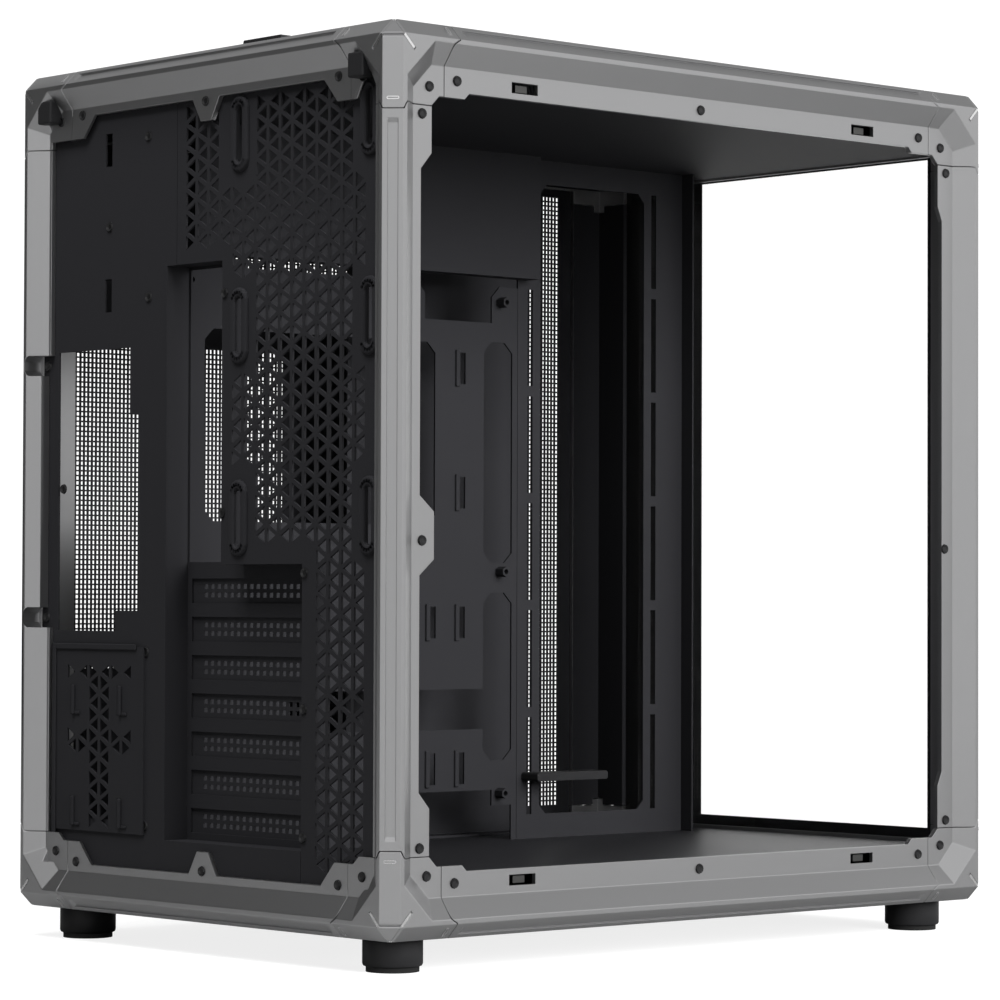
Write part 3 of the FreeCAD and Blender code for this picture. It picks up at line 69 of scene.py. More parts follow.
MM = 0.001
SIDES = (-1, 1)
X, Y, Z = (Vector(axis) for axis in ((1, 0, 0), (0, 1, 0), (0, 0, 1)))
# Indices of X and Z, the two axes of a sheet across Y
FLAT_AXES = (0, 2)

# Boxes and planes that the added pieces sit on
glass_low, glass_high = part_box("front_glass")
mesh_low, mesh_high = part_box("right_panel")
cover_low, cover_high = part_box("top_cover")
vent_low, vent_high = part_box("rear_vent_plate")
bracket_low, bracket_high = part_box("slot_bracket")
frame_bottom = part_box("rail_left_bottom")[0].z
frame_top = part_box("rail_left_top")[1].z
frame_middle = (frame_bottom + frame_top) / 2
half_width = cad_high.x
half_depth = cad_high.y
flange_x = mesh_low.x
flange_y = -glass_high.y


# Objects, sheets and nodes

def add_object(name, data):
    """Object of the scene that shows a mesh, a lamp or a camera."""
    made = bpy.data.objects.new(name, data)
    studio.collection.objects.link(made)
    return made


def mesh_object(name, bm, material):
    """Object at the origin, from a bmesh."""
    mesh = bpy.data.meshes.new(name)
    bm.to_mesh(mesh)
    bm.free()
    mesh.materials.append(material)
    return add_object(name, mesh)


def add_sheet(bm, matrix, columns=1, rows=1):
    """Flat grid, one by one before the matrix puts it in place."""
    bmesh.ops.create_grid(bm, x_segments=columns, y_segments=rows, size=0.5, matrix=matrix)


def facing(place, outward):
    """Place whose own Z points outward."""
    return Matrix.Translation(place) @ outward.to_track_quat("Z", "Y").to_matrix().to_4x4()


def linear(colour):
    """Linear colour of an sRGB hex value."""
    channels = [int(colour[i:i + 2], 16) / 255 for i in (1, 3, 5)]
    return [c / 12.92 if c <= 0.04045 else ((c + 0.055) / 1.055) ** 2.4 for c in channels] + [1]


def blank_tree(owner):
    """Empty node tree of a material or a world."""
    owner.use_nodes = True
    owner.node_tree.nodes.clear()
    return owner.node_tree


def add(tree, kind, values=None, links=None, **settings):
    """Adds a node with its settings, the values of its sockets and the outputs that feed them."""
    made = tree.nodes.new(kind)
    for name, setting in settings.items():
        setattr(made, name, setting)
    for socket, value in (values or {}).items():
        made.inputs[socket].default_value = value
    for socket, output in (links or {}).items():
        tree.links.new(output, made.inputs[socket])
    return made


def any_ray(tree, first, *others):
    """One for a ray of any of these kinds, and zero for the rest."""
    path = add(tree, "ShaderNodeLightPath").outputs
    found = path[first]
    for kind in others:
        found = add(tree, "ShaderNodeMath", links={0: found, 1: path[kind]}, operation="MAXIMUM").outputs[0]
    return found


# Camera and light

CAMERA_PLACE = Vector((-1602.2, 1454.0, 186.8)) * MM
CAMERA_HEADING = math.radians(132.108)
CAMERA_RISE = math.radians(1.460)
CAMERA_ROLL = math.radians(0.187)
# Focal length and width of the sensor in millimetres, and how far the camera sees in metres
CAMERA_LENS = 138.9
CAMERA_SENSOR = 36
CAMERA_REACH = 50


def set_camera():
    """Camera that sees the rear and the open left side."""
    data = bpy.data.cameras.new("camera")
    data.lens = CAMERA_LENS
    data.sensor_width = CAMERA_SENSOR
    data.clip_end = CAMERA_REACH
    camera = add_object("camera", data)
    level = Vector((math.sin(CAMERA_HEADING), math.cos(CAMERA_HEADING), 0))
    ahead = level * math.cos(CAMERA_RISE) + Z * math.sin(CAMERA_RISE)
    right = ahead.cross(Z).normalized()
    right.rotate(Matrix.Rotation(-CAMERA_ROLL, 3, ahead))
    turn = Matrix((right, right.cross(ahead), -ahead)).transposed().to_4x4()
    camera.matrix_world = Matrix.Translation(CAMERA_PLACE) @ turn
    studio.camera = camera


WHITE = "#ffffff"
WORLD_LIGHT = 0.26
WORLD_WHITE = 1.12


def light_world():
    """Soft light on the case, and plain white for rays that show the background."""
    studio.world = bpy.data.worlds.new("studio")
    tree = blank_tree(studio.world)
    soft, white = (
        add(tree, "ShaderNodeBackground", {"Color": linear(WHITE), "Strength": strength}).outputs[0]
        for strength in (WORLD_LIGHT, WORLD_WHITE)
    )
    shown = any_ray(tree, "Is Camera Ray", "Is Glossy Ray", "Is Transmission Ray")
    both = add(tree, "ShaderNodeMixShader", links={0: shown, 1: soft, 2: white})
    add(tree, "ShaderNodeOutputWorld", links={"Surface": both.outputs[0]})


FLOOR_SIDE = 16
# The floor glows fully beyond the far distance in metres, and by a share of that within the near one
FLOOR_NEAR = 0.35
FLOOR_FAR = 1.1
FLOOR_GLOW_NEAR = 0.74
# How pale the floor is for the light that it throws back on the case, and for the eye
FLOOR_BOUNCE = 0.22
FLOOR_SHADE = 0.9


def lay_floor():
    """White sweep: its own light hides the horizon, and close to the case it still takes a shadow."""
    paper = bpy.data.materials.new("white_paper_sweep")
    tree = blank_tree(paper)
    place = add(tree, "ShaderNodeTexCoord").outputs["Object"]
    away = add(tree, "ShaderNodeVectorMath", links={0: place}, operation="LENGTH")
    glow = add(
        tree, "ShaderNodeMapRange",
        {"From Min": FLOOR_NEAR, "From Max": FLOOR_FAR, "To Min": FLOOR_GLOW_NEAR, "To Max": 1},
        {"Value": away.outputs["Value"]},
    )
    seen = any_ray(tree, "Is Camera Ray", "Is Transmission Ray")
    share = add(tree, "ShaderNodeMath", links={0: seen, 1: glow.outputs["Result"]}, operation="MULTIPLY")
    shade = add(
        tree, "ShaderNodeMapRange", {"To Min": FLOOR_BOUNCE, "To Max": FLOOR_SHADE}, {"Value": seen},
    )
    lit = add(tree, "ShaderNodeBsdfDiffuse", links={"Color": shade.outputs["Result"]})
    white = add(tree, "ShaderNodeEmission", {"Color": linear(WHITE), "Strength": WORLD_WHITE})
    both = add(
        tree, "ShaderNodeMixShader", links={0: share.outputs[0], 1: lit.outputs[0], 2: white.outputs[0]},
    )
    add(tree, "ShaderNodeOutputMaterial", links={"Surface": both.outputs[0]})
    bm = bmesh.new()
    add_sheet(bm, Matrix.Diagonal((FLOOR_SIDE, FLOOR_SIDE, 1, 1)))
    floor = mesh_object("floor", bm, paper)


# Cards: name, place and size in metres, and grey
CARDS = (
    ("rear_card", (1.9, 1.7, 0.5), (4.4, 3.6), "#565656"),
    ("top_card", (0.8, -0.8, 2.6), (7, 6), "#b4b4b4"),
)


def hang_card(name, place, size, grey):
    """Grey card that only reflections show, so that the faces of the metal differ as in a studio."""
    paper = bpy.data.materials.new(f"{name}_paper")
    tree = blank_tree(paper)
    dull = add(tree, "ShaderNodeEmission", {"Color": linear(grey), "Strength": 1})
    add(tree, "ShaderNodeOutputMaterial", links={"Surface": dull.outputs[0]})
    bm = bmesh.new()
    add_sheet(bm, facing(place, -Vector(place)) @ Matrix.Diagonal((*size, 1, 1)))
    card = mesh_object(name, bm, paper)
    card.visible_camera = False
    card.visible_diffuse = False
    card.visible_transmission = False
    card.visible_shadow = False


# Square lamps: name, place and side in metres, and watts
LAMPS = (
    ("side_lamp", (-2.4, -0.1, 1.1), 1.6, 180),
    ("top_lamp", (-0.6, -0.4, 2.6), 1.8, 16),
    ("rear_lamp", (-0.1, 0.9, 1.7), 0.8, 44),
)


def hang_lamp(name, place, side, watts):
    """Lamp aimed at the middle of the case, which the metal doesn't mirror."""
    data = bpy.data.lights.new(name, "AREA")
    data.size = side
    data.energy = watts
    lamp = add_object(name, data)
    aim = Z * frame_middle - Vector(place)
    lamp.location = place
    lamp.rotation_euler = aim.to_track_quat("-Z", "Y").to_euler()
    lamp.visible_glossy = False


studio.view_settings.view_transform = "Standard"
set_camera()
light_world()
lay_floor()
for card_row in CARDS:
    hang_card(*card_row)
for lamp_row in LAMPS:
    hang_lamp(*lamp_row)


# Materials

def new_material(name, colour, values):
    """Material with one principled surface of a hex colour."""
    made = bpy.data.materials.new(name)
    tree = blank_tree(made)
    surface = add(tree, "ShaderNodeBsdfPrincipled", {"Base Color": linear(colour), **values})
    add(tree, "ShaderNodeOutputMaterial", links={"Surface": surface.outputs["BSDF"]})
    return made


def emboss(material, depth, kind, values, **settings):
    """Bumps of a given depth, from a texture on the piece's own coordinates."""
    tree = material.node_tree
    place = add(tree, "ShaderNodeTexCoord").outputs["Object"]
    pattern = add(tree, kind, values, {"Vector": place}, **settings)
    bump = add(
        tree, "ShaderNodeBump", {"Strength": 1, "Distance": depth}, {"Height": pattern.outputs["Fac"]},
    )
    tree.links.new(bump.outputs["Normal"], tree.nodes["Principled BSDF"].inputs["Normal"])


def roughen(material, grain, depth):
    """Grain of a blasted, coated or moulded skin."""
    emboss(material, depth, "ShaderNodeTexNoise", {"Scale": 1 / grain, "Detail": 2})


# Aluminium, bead-blasted and anodised grey: an even satin metal. The grain is drawn coarser than the real
# one, which is too fine to show.
aluminium = new_material("anodised_aluminium", "#a9a9aa", {"Metallic": 1, "Roughness": 0.4})
roughen(aluminium, 0.7 * MM, 0.004 * MM)

# Sheet steel, powder coated black: a dull skin with a fine pebble.
steel = new_material("powder_coated_steel", "#212123", {"Roughness": 0.6, "Specular IOR Level": 0.08})
roughen(steel, 0.6 * MM, 0.01 * MM)

# The same coat on the floor of the main chamber, over close pressed ribs.
RIB_PITCH = 1.7 * MM
RIB_DEPTH = 0.25 * MM
ribbed_steel = new_material("ribbed_coated_steel", "#19191b", {"Roughness": 0.38, "Specular IOR Level": 0.5})
# A wave texture repeats about every pi / 10 of its scaled coordinate.
emboss(ribbed_steel, RIB_DEPTH, "ShaderNodeTexWave", {"Scale": math.pi / 10 / RIB_PITCH}, bands_direction="Y")

# ABS, moulded with a fine texture: black and slightly soft in its shine.
plastic = new_material("moulded_abs", "#1b1b1c", {"Roughness": 0.5, "Specular IOR Level": 0.2})
roughen(plastic, 0.5 * MM, 0.006 * MM)

# Rubber, moulded: black with almost no shine.
rubber = new_material("moulded_rubber", "#161616", {"Roughness": 0.8})

# Toughened float glass, clear: seen through, with a mirror's shine on top.
glass = new_material("toughened_glass", WHITE, {"Roughness": 0, "IOR": 1.5, "Transmission Weight": 1})

# Ceramic ink fired on the back of the glass: deep black.
ink = new_material("fired_black_ink", "#0a0a0b", {"Roughness": 0.3})

# Screw steel, blackened: dark with a thin metallic shine.
screw_steel = new_material("blackened_steel", "#161617", {"Metallic": 0.3, "Roughness": 0.35})

# The same aluminium, lighter and smoother, on the mitre strips and the pill marks: a painted highlight, its
# lighter colour standing for the light that these small faces reflect.
highlight_aluminium = new_material("painted_highlight_aluminium", "#d8d8d8", {"Metallic": 1, "Roughness": 0.22})

# Spring steel of the catches, oiled after hardening: a dull dark grey metal.
spring_steel = new_material("hardened_spring_steel", "#5c5c5b", {"Metallic": 1, "Roughness": 0.4})

SLOT_MATERIALS = {
    "frame_aluminium": aluminium, "black_steel": steel, "black_plastic": plastic, "sole_rubber": rubber,
    "front_glass": glass, "catch_steel": spring_steel,
}
# A face of the front right post is an inner one from this far behind the flanges, if it mostly faces inwards
POST_STEP = 1 * MM
MOSTLY = 0.5


def coat_nodes():
    """Gives each CAD node the material of its slot, and the chamber's floor its ribs."""
    for row in frame["record"]["subparts"]:
        materials = nodes[row["node"]].data.materials
        materials.clear()
        materials.append(SLOT_MATERIALS[row["material_slot"]])
    nodes["bottom_panel"].data.materials[0] = ribbed_steel


def blacken_post():
    """Coats the inner faces of the front right post black, like the chamber there."""
    mesh = nodes["post_front_right"].data
    mesh.materials.append(steel)
    for face in mesh.polygons:
        behind = face.center.x < flange_x - POST_STEP and face.center.y > POST_STEP - flange_y
        if behind and (face.normal.y > MOSTLY or face.normal.x < -MOSTLY):
            face.material_index = 1


coat_nodes()
blacken_post()


# Finished edges of the rigid pieces

WELD_REACH = 0.001 * MM
FLAT_ANGLE = math.radians(2)
EDGE_ANGLE = math.radians(20)
FRAME_EDGE = 0.35 * MM
FOOT_EDGE = 1.6 * MM


def soften(name, width):
    """Small rounded edges: the piece's triangles are joined and merged into flats, then bevelled."""
    joined = nodes[name].modifiers.new("joined", "WELD")
    joined.merge_threshold = WELD_REACH
    flats = nodes[name].modifiers.new("flats", "DECIMATE")
    flats.decimate_type = "DISSOLVE"
    flats.angle_limit = FLAT_ANGLE
    edges = nodes[name].modifiers.new("edges", "BEVEL")
    edges.width = width
    edges.segments = 2
    edges.profile = 0.5
    edges.material = -1
    edges.limit_method = "ANGLE"
    edges.angle_limit = EDGE_ANGLE


def soften_nodes():
    """Rounds the edges of the frame, the feet and the moulded pieces."""
    for name in nodes:
        if name.startswith(("corner_cap", "post_", "rail_")):
            soften(name, FRAME_EDGE)
        elif name.startswith("foot_") and "pad" not in name:
            soften(name, FOOT_EDGE)
    for name in ("cover_pull_tab", "bracket_arm", "switch_panel"):
        soften(name, FRAME_EDGE)


soften_nodes()


# Ways of working sheet and small pieces

def make_piece(name, bm, material, replaces=()):
    """Object of the case from a bmesh and the CAD nodes that it stands for."""
    bmesh.ops.recalc_face_normals(bm, faces=bm.faces)
    piece = mesh_object(name, bm, material)
    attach(piece, "case")
    if replaces:
        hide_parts(*replaces)


def add_box(bm, low, high):
    """Box between two corners."""
    size = Vector(high) - Vector(low)
    middle = (Vector(low) + Vector(high)) / 2
    bmesh.ops.create_cube(bm, size=1, matrix=Matrix.Translation(middle) @ Matrix.Diagonal((*size, 1)))


def round_edges(bm, edges, width, segments):
    """Rounds edges by bevels of a given width."""
    bmesh.ops.bevel(
        bm, geom=edges, offset=width, affect="EDGES", segments=segments, profile=0.5, material=-1,
    )


def extrude_all(bm, way):
    """Gives flat faces a thickness, by a step that way."""
    moved = bmesh.ops.extrude_face_region(bm, geom=bm.faces[:])["geom"]
    bmesh.ops.translate(bm, verts=[item for item in moved if isinstance(item, bmesh.types.BMVert)], vec=way)


def thicken(bm, thickness):
    """Gives a flat sheet its thickness, towards -Y."""
    for face in bm.faces:
        if face.normal.y > 0:
            face.normal_flip()
    extrude_all(bm, -Y * thickness)


def trim(bm, place, outward):
    """Cuts off what lies beyond a plane."""
    bmesh.ops.bisect_plane(
        bm, geom=[*bm.verts, *bm.edges, *bm.faces], plane_co=place, plane_no=outward, clear_outer=True,
    )


def rectangles(places, width, height):
    """Low and high corners of equal rectangles across Y, from the places of their middles."""
    half = Vector((width / 2, 0, height / 2))
    return [(Vector((x, 0, z)) - half, Vector((x, 0, z)) + half) for x, z in places]


def sides_of(low, high):
    """Sides of a rectangle across Y: a point on each and the way out."""
    return (low, -X), (low, -Z), (high, X), (high, Z)


def spans(face, low, high):
    """Whether a face reaches into a rectangle across Y."""
    return all(
        min(v.co[i] for v in face.verts) < high[i] and max(v.co[i] for v in face.verts) > low[i]
        for i in FLAT_AXES
    )


def within(face, low, high):
    """Whether a face lies in a rectangle across Y."""
    return all(low[i] <= v.co[i] <= high[i] for v in face.verts for i in FLAT_AXES)


def cut_window(bm, low, high):
    """Rectangular window in a sheet across Y; only the faces that it meets are split."""
    for place, outward in sides_of(low, high):
        met = [face for face in bm.faces if spans(face, low, high)]
        edges = {edge for face in met for edge in face.edges}
        verts = {vert for face in met for vert in face.verts}
        bmesh.ops.bisect_plane(bm, geom=[*verts, *edges, *met], plane_co=place, plane_no=outward)
    middle = [
        face for face in bm.faces
        if all(low[i] < face.calc_center_median()[i] < high[i] for i in FLAT_AXES)
    ]
    bmesh.ops.delete(bm, geom=middle, context="FACES")


ROUND_SEGMENTS = 16


def pill_face(bm, length, width, matrix):
    """Flat face with round ends, longest along its own X."""
    ring = bmesh.ops.create_circle(bm, cap_ends=True, segments=ROUND_SEGMENTS, radius=width / 2)["verts"]
    bmesh.ops.rotate(bm, verts=ring, matrix=Matrix.Rotation(math.pi / ROUND_SEGMENTS, 3, "Z"))
    for vert in ring:
        vert.co.x += math.copysign((length - width) / 2, vert.co.x)
    bmesh.ops.transform(bm, verts=ring, matrix=matrix)
    return ring[0].link_faces[0]


def open_face(bm, face, wall):
    """Leaves a wall along the outline of a face and opens the rest."""
    bmesh.ops.inset_region(bm, faces=[face], thickness=wall, use_boundary=True, use_even_offset=True)
    bmesh.ops.delete(bm, geom=[face], context="FACES")


def place_copies(shape, places):
    """Bmesh with a copy of one small shape at each place."""
    template = bpy.data.meshes.new("template")
    shape.to_mesh(template)
    shape.free()
    bm = bmesh.new()
    for place in places:
        start = len(bm.verts)
        bm.from_mesh(template)
        bm.verts.ensure_lookup_table()
        bmesh.ops.transform(bm, verts=bm.verts[start:], matrix=place)
    bpy.data.meshes.remove(template)
    return bm


# Triangle grille of the vent plate, with pressed rims round the fan slots

SHEET = 1.2 * MM
TRIANGLE_SIDE = 11.5 * MM
TRIANGLE_BAR = 2.2 * MM
# A triangle counts as whole, and not clipped by the edge of the sheet, from this share of its area
WHOLE_SHARE = 0.99
GRILLE_MARGIN = 5 * MM
REAR_FLANGE_SIDE = 22 * MM
REAR_FLANGE_RAIL = 25 * MM
SOCKET_LEFT = -11 * MM
SOCKET_BOTTOM = 204 * MM
SOCKET_TOP = bracket_high.z - SHEET
SLOT_LEFT = bracket_low.x + SHEET
FANS = list(itertools.product((-26 * MM, -131 * MM), (428 * MM, 328 * MM, 228 * MM)))
# Length and width of a fan slot, and of the rim round it
FAN_SLOT = (31 * MM, 5 * MM)
FAN_RIM = (40 * MM, 15 * MM)
RIM_RISE = 2 * MM
RIM_ROUND = 1.6 * MM


def triangle_sheet(bm, low, high):
    """Flat sheet of equal triangles with upright edges, across Y and clipped to a rectangle."""
    pitch = TRIANGLE_SIDE * math.sqrt(3) / 2
    columns = math.ceil((high.x - low.x) / pitch)
    rows = math.ceil((high.z - low.z) / TRIANGLE_SIDE + columns / 2)
    width = columns * pitch
    height = rows * TRIANGLE_SIDE
    lean = columns * TRIANGLE_SIDE / 2
    sheared = Matrix((
        (width, 0, 0, low.x + width / 2),
        (0, 0, -1, low.y),
        (lean, height, 0, low.z + (height - lean) / 2),
        (0, 0, 0, 1),
    ))
    add_sheet(bm, sheared, columns, rows)
    bmesh.ops.triangulate(bm, faces=bm.faces, quad_method="SHORT_EDGE")
    for place, outward in sides_of(low, high):
        trim(bm, place, outward)


def pierce_triangles(bm, zones, plain):
    """Opens each whole triangle that lies in a zone and clear of the plain places."""
    whole = TRIANGLE_SIDE ** 2 * math.sqrt(3) / 4
    chosen = [
        face for face in bm.faces
        if len(face.verts) == 3 and face.calc_area() > whole * WHOLE_SHARE
        and any(within(face, *zone) for zone in zones) and not any(spans(face, *place) for place in plain)
    ]
    bmesh.ops.inset_individual(bm, faces=chosen, thickness=TRIANGLE_BAR / 2, use_even_offset=True)
    bmesh.ops.delete(bm, geom=chosen, context="FACES")


def make_rear_grille():
    bm = bmesh.new()
    triangle_sheet(bm, Vector((vent_low.x, vent_high.y, vent_low.z)), vent_high)
    zone_left = REAR_FLANGE_SIDE - half_width + GRILLE_MARGIN
    zone_top = frame_top - REAR_FLANGE_RAIL
    zones = [
        (Vector((zone_left, 0, bottom)), Vector((side - GRILLE_MARGIN, 0, zone_top)))
        for bottom, side in (
            (frame_bottom + REAR_FLANGE_RAIL, SLOT_LEFT), (SOCKET_BOTTOM + GRILLE_MARGIN, SOCKET_LEFT),
            (SOCKET_TOP + GRILLE_MARGIN, vent_high.x),
        )
    ]
    pierce_triangles(bm, zones, rectangles(FANS, FAN_RIM[1], FAN_RIM[0]))
    # The square windows end behind the round ends of the rims.
    for low, high in rectangles(FANS, FAN_SLOT[1], FAN_SLOT[0] - FAN_SLOT[1] / 2):
        cut_window(bm, low, high)
    past = vent_high.x + SHEET
    cut_window(bm, Vector((SOCKET_LEFT, 0, SOCKET_BOTTOM)), Vector((past, 0, SOCKET_TOP)))
    cut_window(bm, Vector((SLOT_LEFT, 0, vent_low.z - SHEET)), Vector((past, 0, SOCKET_BOTTOM)))
    thicken(bm, SHEET)
    make_piece("rear_grille", bm, steel, ["rear_vent_plate"])


def make_fan_rims():
    bm = bmesh.new()
    for x, z in FANS:
        upright = Matrix.Translation((x, vent_high.y, z)) @ Matrix.Rotation(math.pi / 2, 4, "X")
        rim = pill_face(bm, *FAN_RIM, upright @ Matrix.Rotation(math.pi / 2, 4, "Z"))
        open_face(bm, rim, (FAN_RIM[1] - FAN_SLOT[1]) / 2)
    extrude_all(bm, Y * RIM_RISE)
    outer = [edge for edge in bm.edges if all(v.co.y > vent_high.y + RIM_RISE / 2 for v in edge.verts)]
    round_edges(bm, outer, RIM_ROUND, 3)
    make_piece("fan_slot_rims", bm, steel)


make_rear_grille()
make_fan_rims()


# Drive access plate: the same triangles between four bent hooks, with a pressed ridge beside and above it

ACCESS_ZONE = (Vector((58, 0, 58)) * MM, Vector((132, 0, 155)) * MM)
HOOK_PLACES = list(itertools.product((73 * MM, 115.5 * MM), (70.5 * MM, 131 * MM)))
HOOK_SIZE = (9 * MM, 16 * MM)
HOOK_SLOT = 2 * MM
HOOK_RISE = 1.6 * MM
HOOK_FOOT = 2 * MM
ACCESS_SCREWS = ((74.2 * MM, 96.6 * MM), (116.5 * MM, 95.7 * MM))
SCREW_PLAIN = 6 * MM
RIDGE_WIDTH = 3.4 * MM
RIDGE_RISE = 1 * MM
RIDGE_ROUND = 0.6 * MM
RIDGE_RIGHT = 134.5 * MM
RIDGE_LEFT = 60 * MM
RIDGE_TOP = 160 * MM
RIDGE_BOTTOM = 57 * MM


def make_access_plate():
    low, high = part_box("drive_access_plate")
    hooks = rectangles(HOOK_PLACES, *HOOK_SIZE)
    screws = rectangles(ACCESS_SCREWS, SCREW_PLAIN, SCREW_PLAIN)
    bm = bmesh.new()
    triangle_sheet(bm, Vector((low.x, high.y, low.z)), high)
    pierce_triangles(bm, [ACCESS_ZONE], hooks + screws)
    for start, end in hooks:
        cut_window(bm, Vector((end.x - HOOK_SLOT, 0, start.z)), end)
    thicken(bm, high.y - low.y)
    make_piece("access_plate", bm, steel, ["drive_access_plate"])
    bm = bmesh.new()
    for start, end in hooks:
        middle = (start.x + end.x) / 2
        add_box(bm, (middle, high.y, start.z), (end.x - HOOK_SLOT, high.y + HOOK_RISE, end.z))
        add_box(bm, (start.x, high.y, start.z), (middle, high.y + HOOK_RISE / 2, start.z + HOOK_FOOT))
    half = RIDGE_WIDTH / 2
    inner = RIDGE_RIGHT - half
    crest = high.y + RIDGE_RISE
    add_box(bm, (inner, high.y, RIDGE_BOTTOM), (RIDGE_RIGHT + half, crest, RIDGE_TOP + half))
    add_box(bm, (RIDGE_LEFT, high.y, RIDGE_TOP - half), (inner, crest, RIDGE_TOP + half))
    round_edges(bm, bm.edges, RIDGE_ROUND, 2)
    make_piece("access_hooks", bm, steel)


make_access_plate()


# Panels of square mesh

MESH_PITCH = 2.75 * MM
MESH_BAR = 0.9 * MM
PANEL_CLIP = 12 * MM
# Bars that cross lie this far below the face of the sheet and of each other
BAR_STEP = 0.05 * MM
# Plain rims of the right panel, from the faces of the frame
MESH_FRONT = 43 * MM
MESH_REAR = 36 * MM
MESH_BOTTOM = 42 * MM
MESH_TOP = 38 * MM
# Meshes of the right panel: beside the side fans, beside the power supply and above it
FAN_ZONE_REAR = -59 * MM
SUPPLY_ZONE_FRONT = 39 * MM
SUPPLY_ZONE_BOTTOM = 147 * MM
SUPPLY_ZONE_TOP = 329 * MM
UPPER_ZONE_FRONT = -35 * MM
UPPER_ZONE_REAR = 75 * MM
UPPER_ZONE_BOTTOM = 363 * MM
# Plain rim of the top cover, from its own edge, and the room for its tab
COVER_RIM = 23 * MM
COVER_TAB = 7 * MM


def clipped_sheet(bm, low, high):
    """Flat sheet across Y with clipped corners."""
    size = high - low
    flat = Matrix.Translation((low + high) / 2) @ Matrix.Rotation(math.pi / 2, 4, "X")
    add_sheet(bm, flat @ Matrix.Diagonal((size.x, size.z, 1, 1)))
    for side_x, side_z in itertools.product(SIDES, SIDES):
        corner = Vector((high.x if side_x > 0 else low.x, 0, high.z if side_z > 0 else low.z))
        trim(bm, corner - X * side_x * PANEL_CLIP, Vector((side_x, 0, side_z)).normalized())


def mesh_panel(name, low, high, zones, thickness, place, replaces):
    """Panel drawn across Y and moved to its place: a sheet with clipped corners and barred zones."""
    bm = bmesh.new()
    clipped_sheet(bm, low, high)
    for zone_low, zone_high in zones:
        cut_window(bm, zone_low, zone_high)
    thicken(bm, thickness)
    for (zone_low, zone_high), (axis, other) in itertools.product(zones, itertools.permutations(FLAT_AXES)):
        count = round((zone_high[axis] - zone_low[axis]) / MESH_PITCH)
        pitch = (zone_high[axis] - zone_low[axis]) / count
        inset = BAR_STEP if axis == 0 else 2 * BAR_STEP
        for number in range(1, count):
            bar_low = zone_low.copy()
            bar_high = zone_high.copy()
            bar_low[axis] = zone_low[axis] + number * pitch - MESH_BAR / 2
            bar_high[axis] = bar_low[axis] + MESH_BAR
            bar_low[other] -= MESH_BAR
            bar_high[other] += MESH_BAR
            bar_low.y = inset - thickness
            bar_high.y = -inset
            add_box(bm, bar_low, bar_high)
    bmesh.ops.transform(bm, verts=bm.verts, matrix=place)
    make_piece(name, bm, steel, replaces)


def make_right_mesh():
    top = frame_top - MESH_TOP
    zones = [
        (Vector((MESH_FRONT - half_depth, 0, frame_bottom + MESH_BOTTOM)), Vector((FAN_ZONE_REAR, 0, top))),
        (
            Vector((SUPPLY_ZONE_FRONT, 0, SUPPLY_ZONE_BOTTOM)),
            Vector((half_depth - MESH_REAR, 0, SUPPLY_ZONE_TOP)),
        ),
        (Vector((UPPER_ZONE_FRONT, 0, UPPER_ZONE_BOTTOM)), Vector((UPPER_ZONE_REAR, 0, top))),
    ]
    upright = Matrix.Translation(X * mesh_low.x) @ Matrix.Rotation(math.pi / 2, 4, "Z")
    mesh_panel(
        "right_mesh", Vector((mesh_low.y, 0, mesh_low.z)), Vector((mesh_high.y, 0, mesh_high.z)), zones,
        mesh_high.x - mesh_low.x, upright, ["right_panel"],
    )


def make_top_mesh():
    zone = (
        Vector((cover_low.x + COVER_RIM, 0, cover_low.y + COVER_RIM)),
        Vector((cover_high.x - COVER_RIM, 0, cover_high.y - COVER_RIM - COVER_TAB)),
    )
    laid = Matrix.Translation(Z * cover_low.z) @ Matrix.Rotation(-math.pi / 2, 4, "X")
    mesh_panel(
        "top_mesh", Vector((cover_low.x, 0, cover_low.y)), Vector((cover_high.x, 0, cover_high.y)), [zone],
        cover_high.z - cover_low.z, laid, ["top_cover"],
    )


make_right_mesh()
make_top_mesh()


# Slot covers: strips with two rows of small holes and a bent lip

SLOT_COVERS = sorted(name for name in nodes if name.startswith("slot_cover_"))
COVER_HOLES = 16
COVER_HOLE_PITCH = 5.5 * MM
COVER_HOLE = (3 * MM, 2.5 * MM)
COVER_ROW_PITCH = 4.5 * MM
COVER_SHEET = 0.8 * MM


def make_slot_strip(cover):
    low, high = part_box(cover)
    back = high.y - COVER_SHEET
    middle = (low.z + high.z) / 2
    half_hole = COVER_HOLE[1] / 2
    reach = COVER_ROW_PITCH / 2 + half_hole
    inner = COVER_ROW_PITCH / 2 - half_hole
    bm = bmesh.new()
    levels = (low.z, middle - reach, middle - inner, middle + inner, middle + reach, high.z)
    for low_z, high_z in zip(levels[::2], levels[1::2]):
        add_box(bm, (low.x, back, low_z), (high.x, high.y, high_z))
    end = (high.x + low.x) / 2 + COVER_HOLES / 2 * COVER_HOLE_PITCH
    web = COVER_HOLE_PITCH - COVER_HOLE[0]
    for step in range(COVER_HOLES + 1):
        right = end - step * COVER_HOLE_PITCH + web / 2
        left = right - web
        if step == 0:
            right = high.x
        elif step == COVER_HOLES:
            left = low.x
        add_box(
            bm, (left, back + BAR_STEP, middle - reach - BAR_STEP),
            (right, high.y - BAR_STEP, middle + reach + BAR_STEP),
        )
    add_box(bm, (high.x - COVER_SHEET, low.y, low.z), (high.x, back + BAR_STEP, high.z))
    make_piece(cover.replace("cover", "strip"), bm, steel, [cover])


for slot_cover in SLOT_COVERS:
    make_slot_strip(slot_cover)


# Black border of the front glass, fired on its inner face

BORDER_COAT = 0.2 * MM
BORDER_SINK = 0.05 * MM
GLASS_EDGE = 0.5 * MM
# Window in the border: across from the middle of the case, and inwards from the underside and the top
CLEAR_LEFT = -122 * MM
CLEAR_RIGHT = 61 * MM
CLEAR_BOTTOM = 39 * MM
CLEAR_TOP = 34 * MM


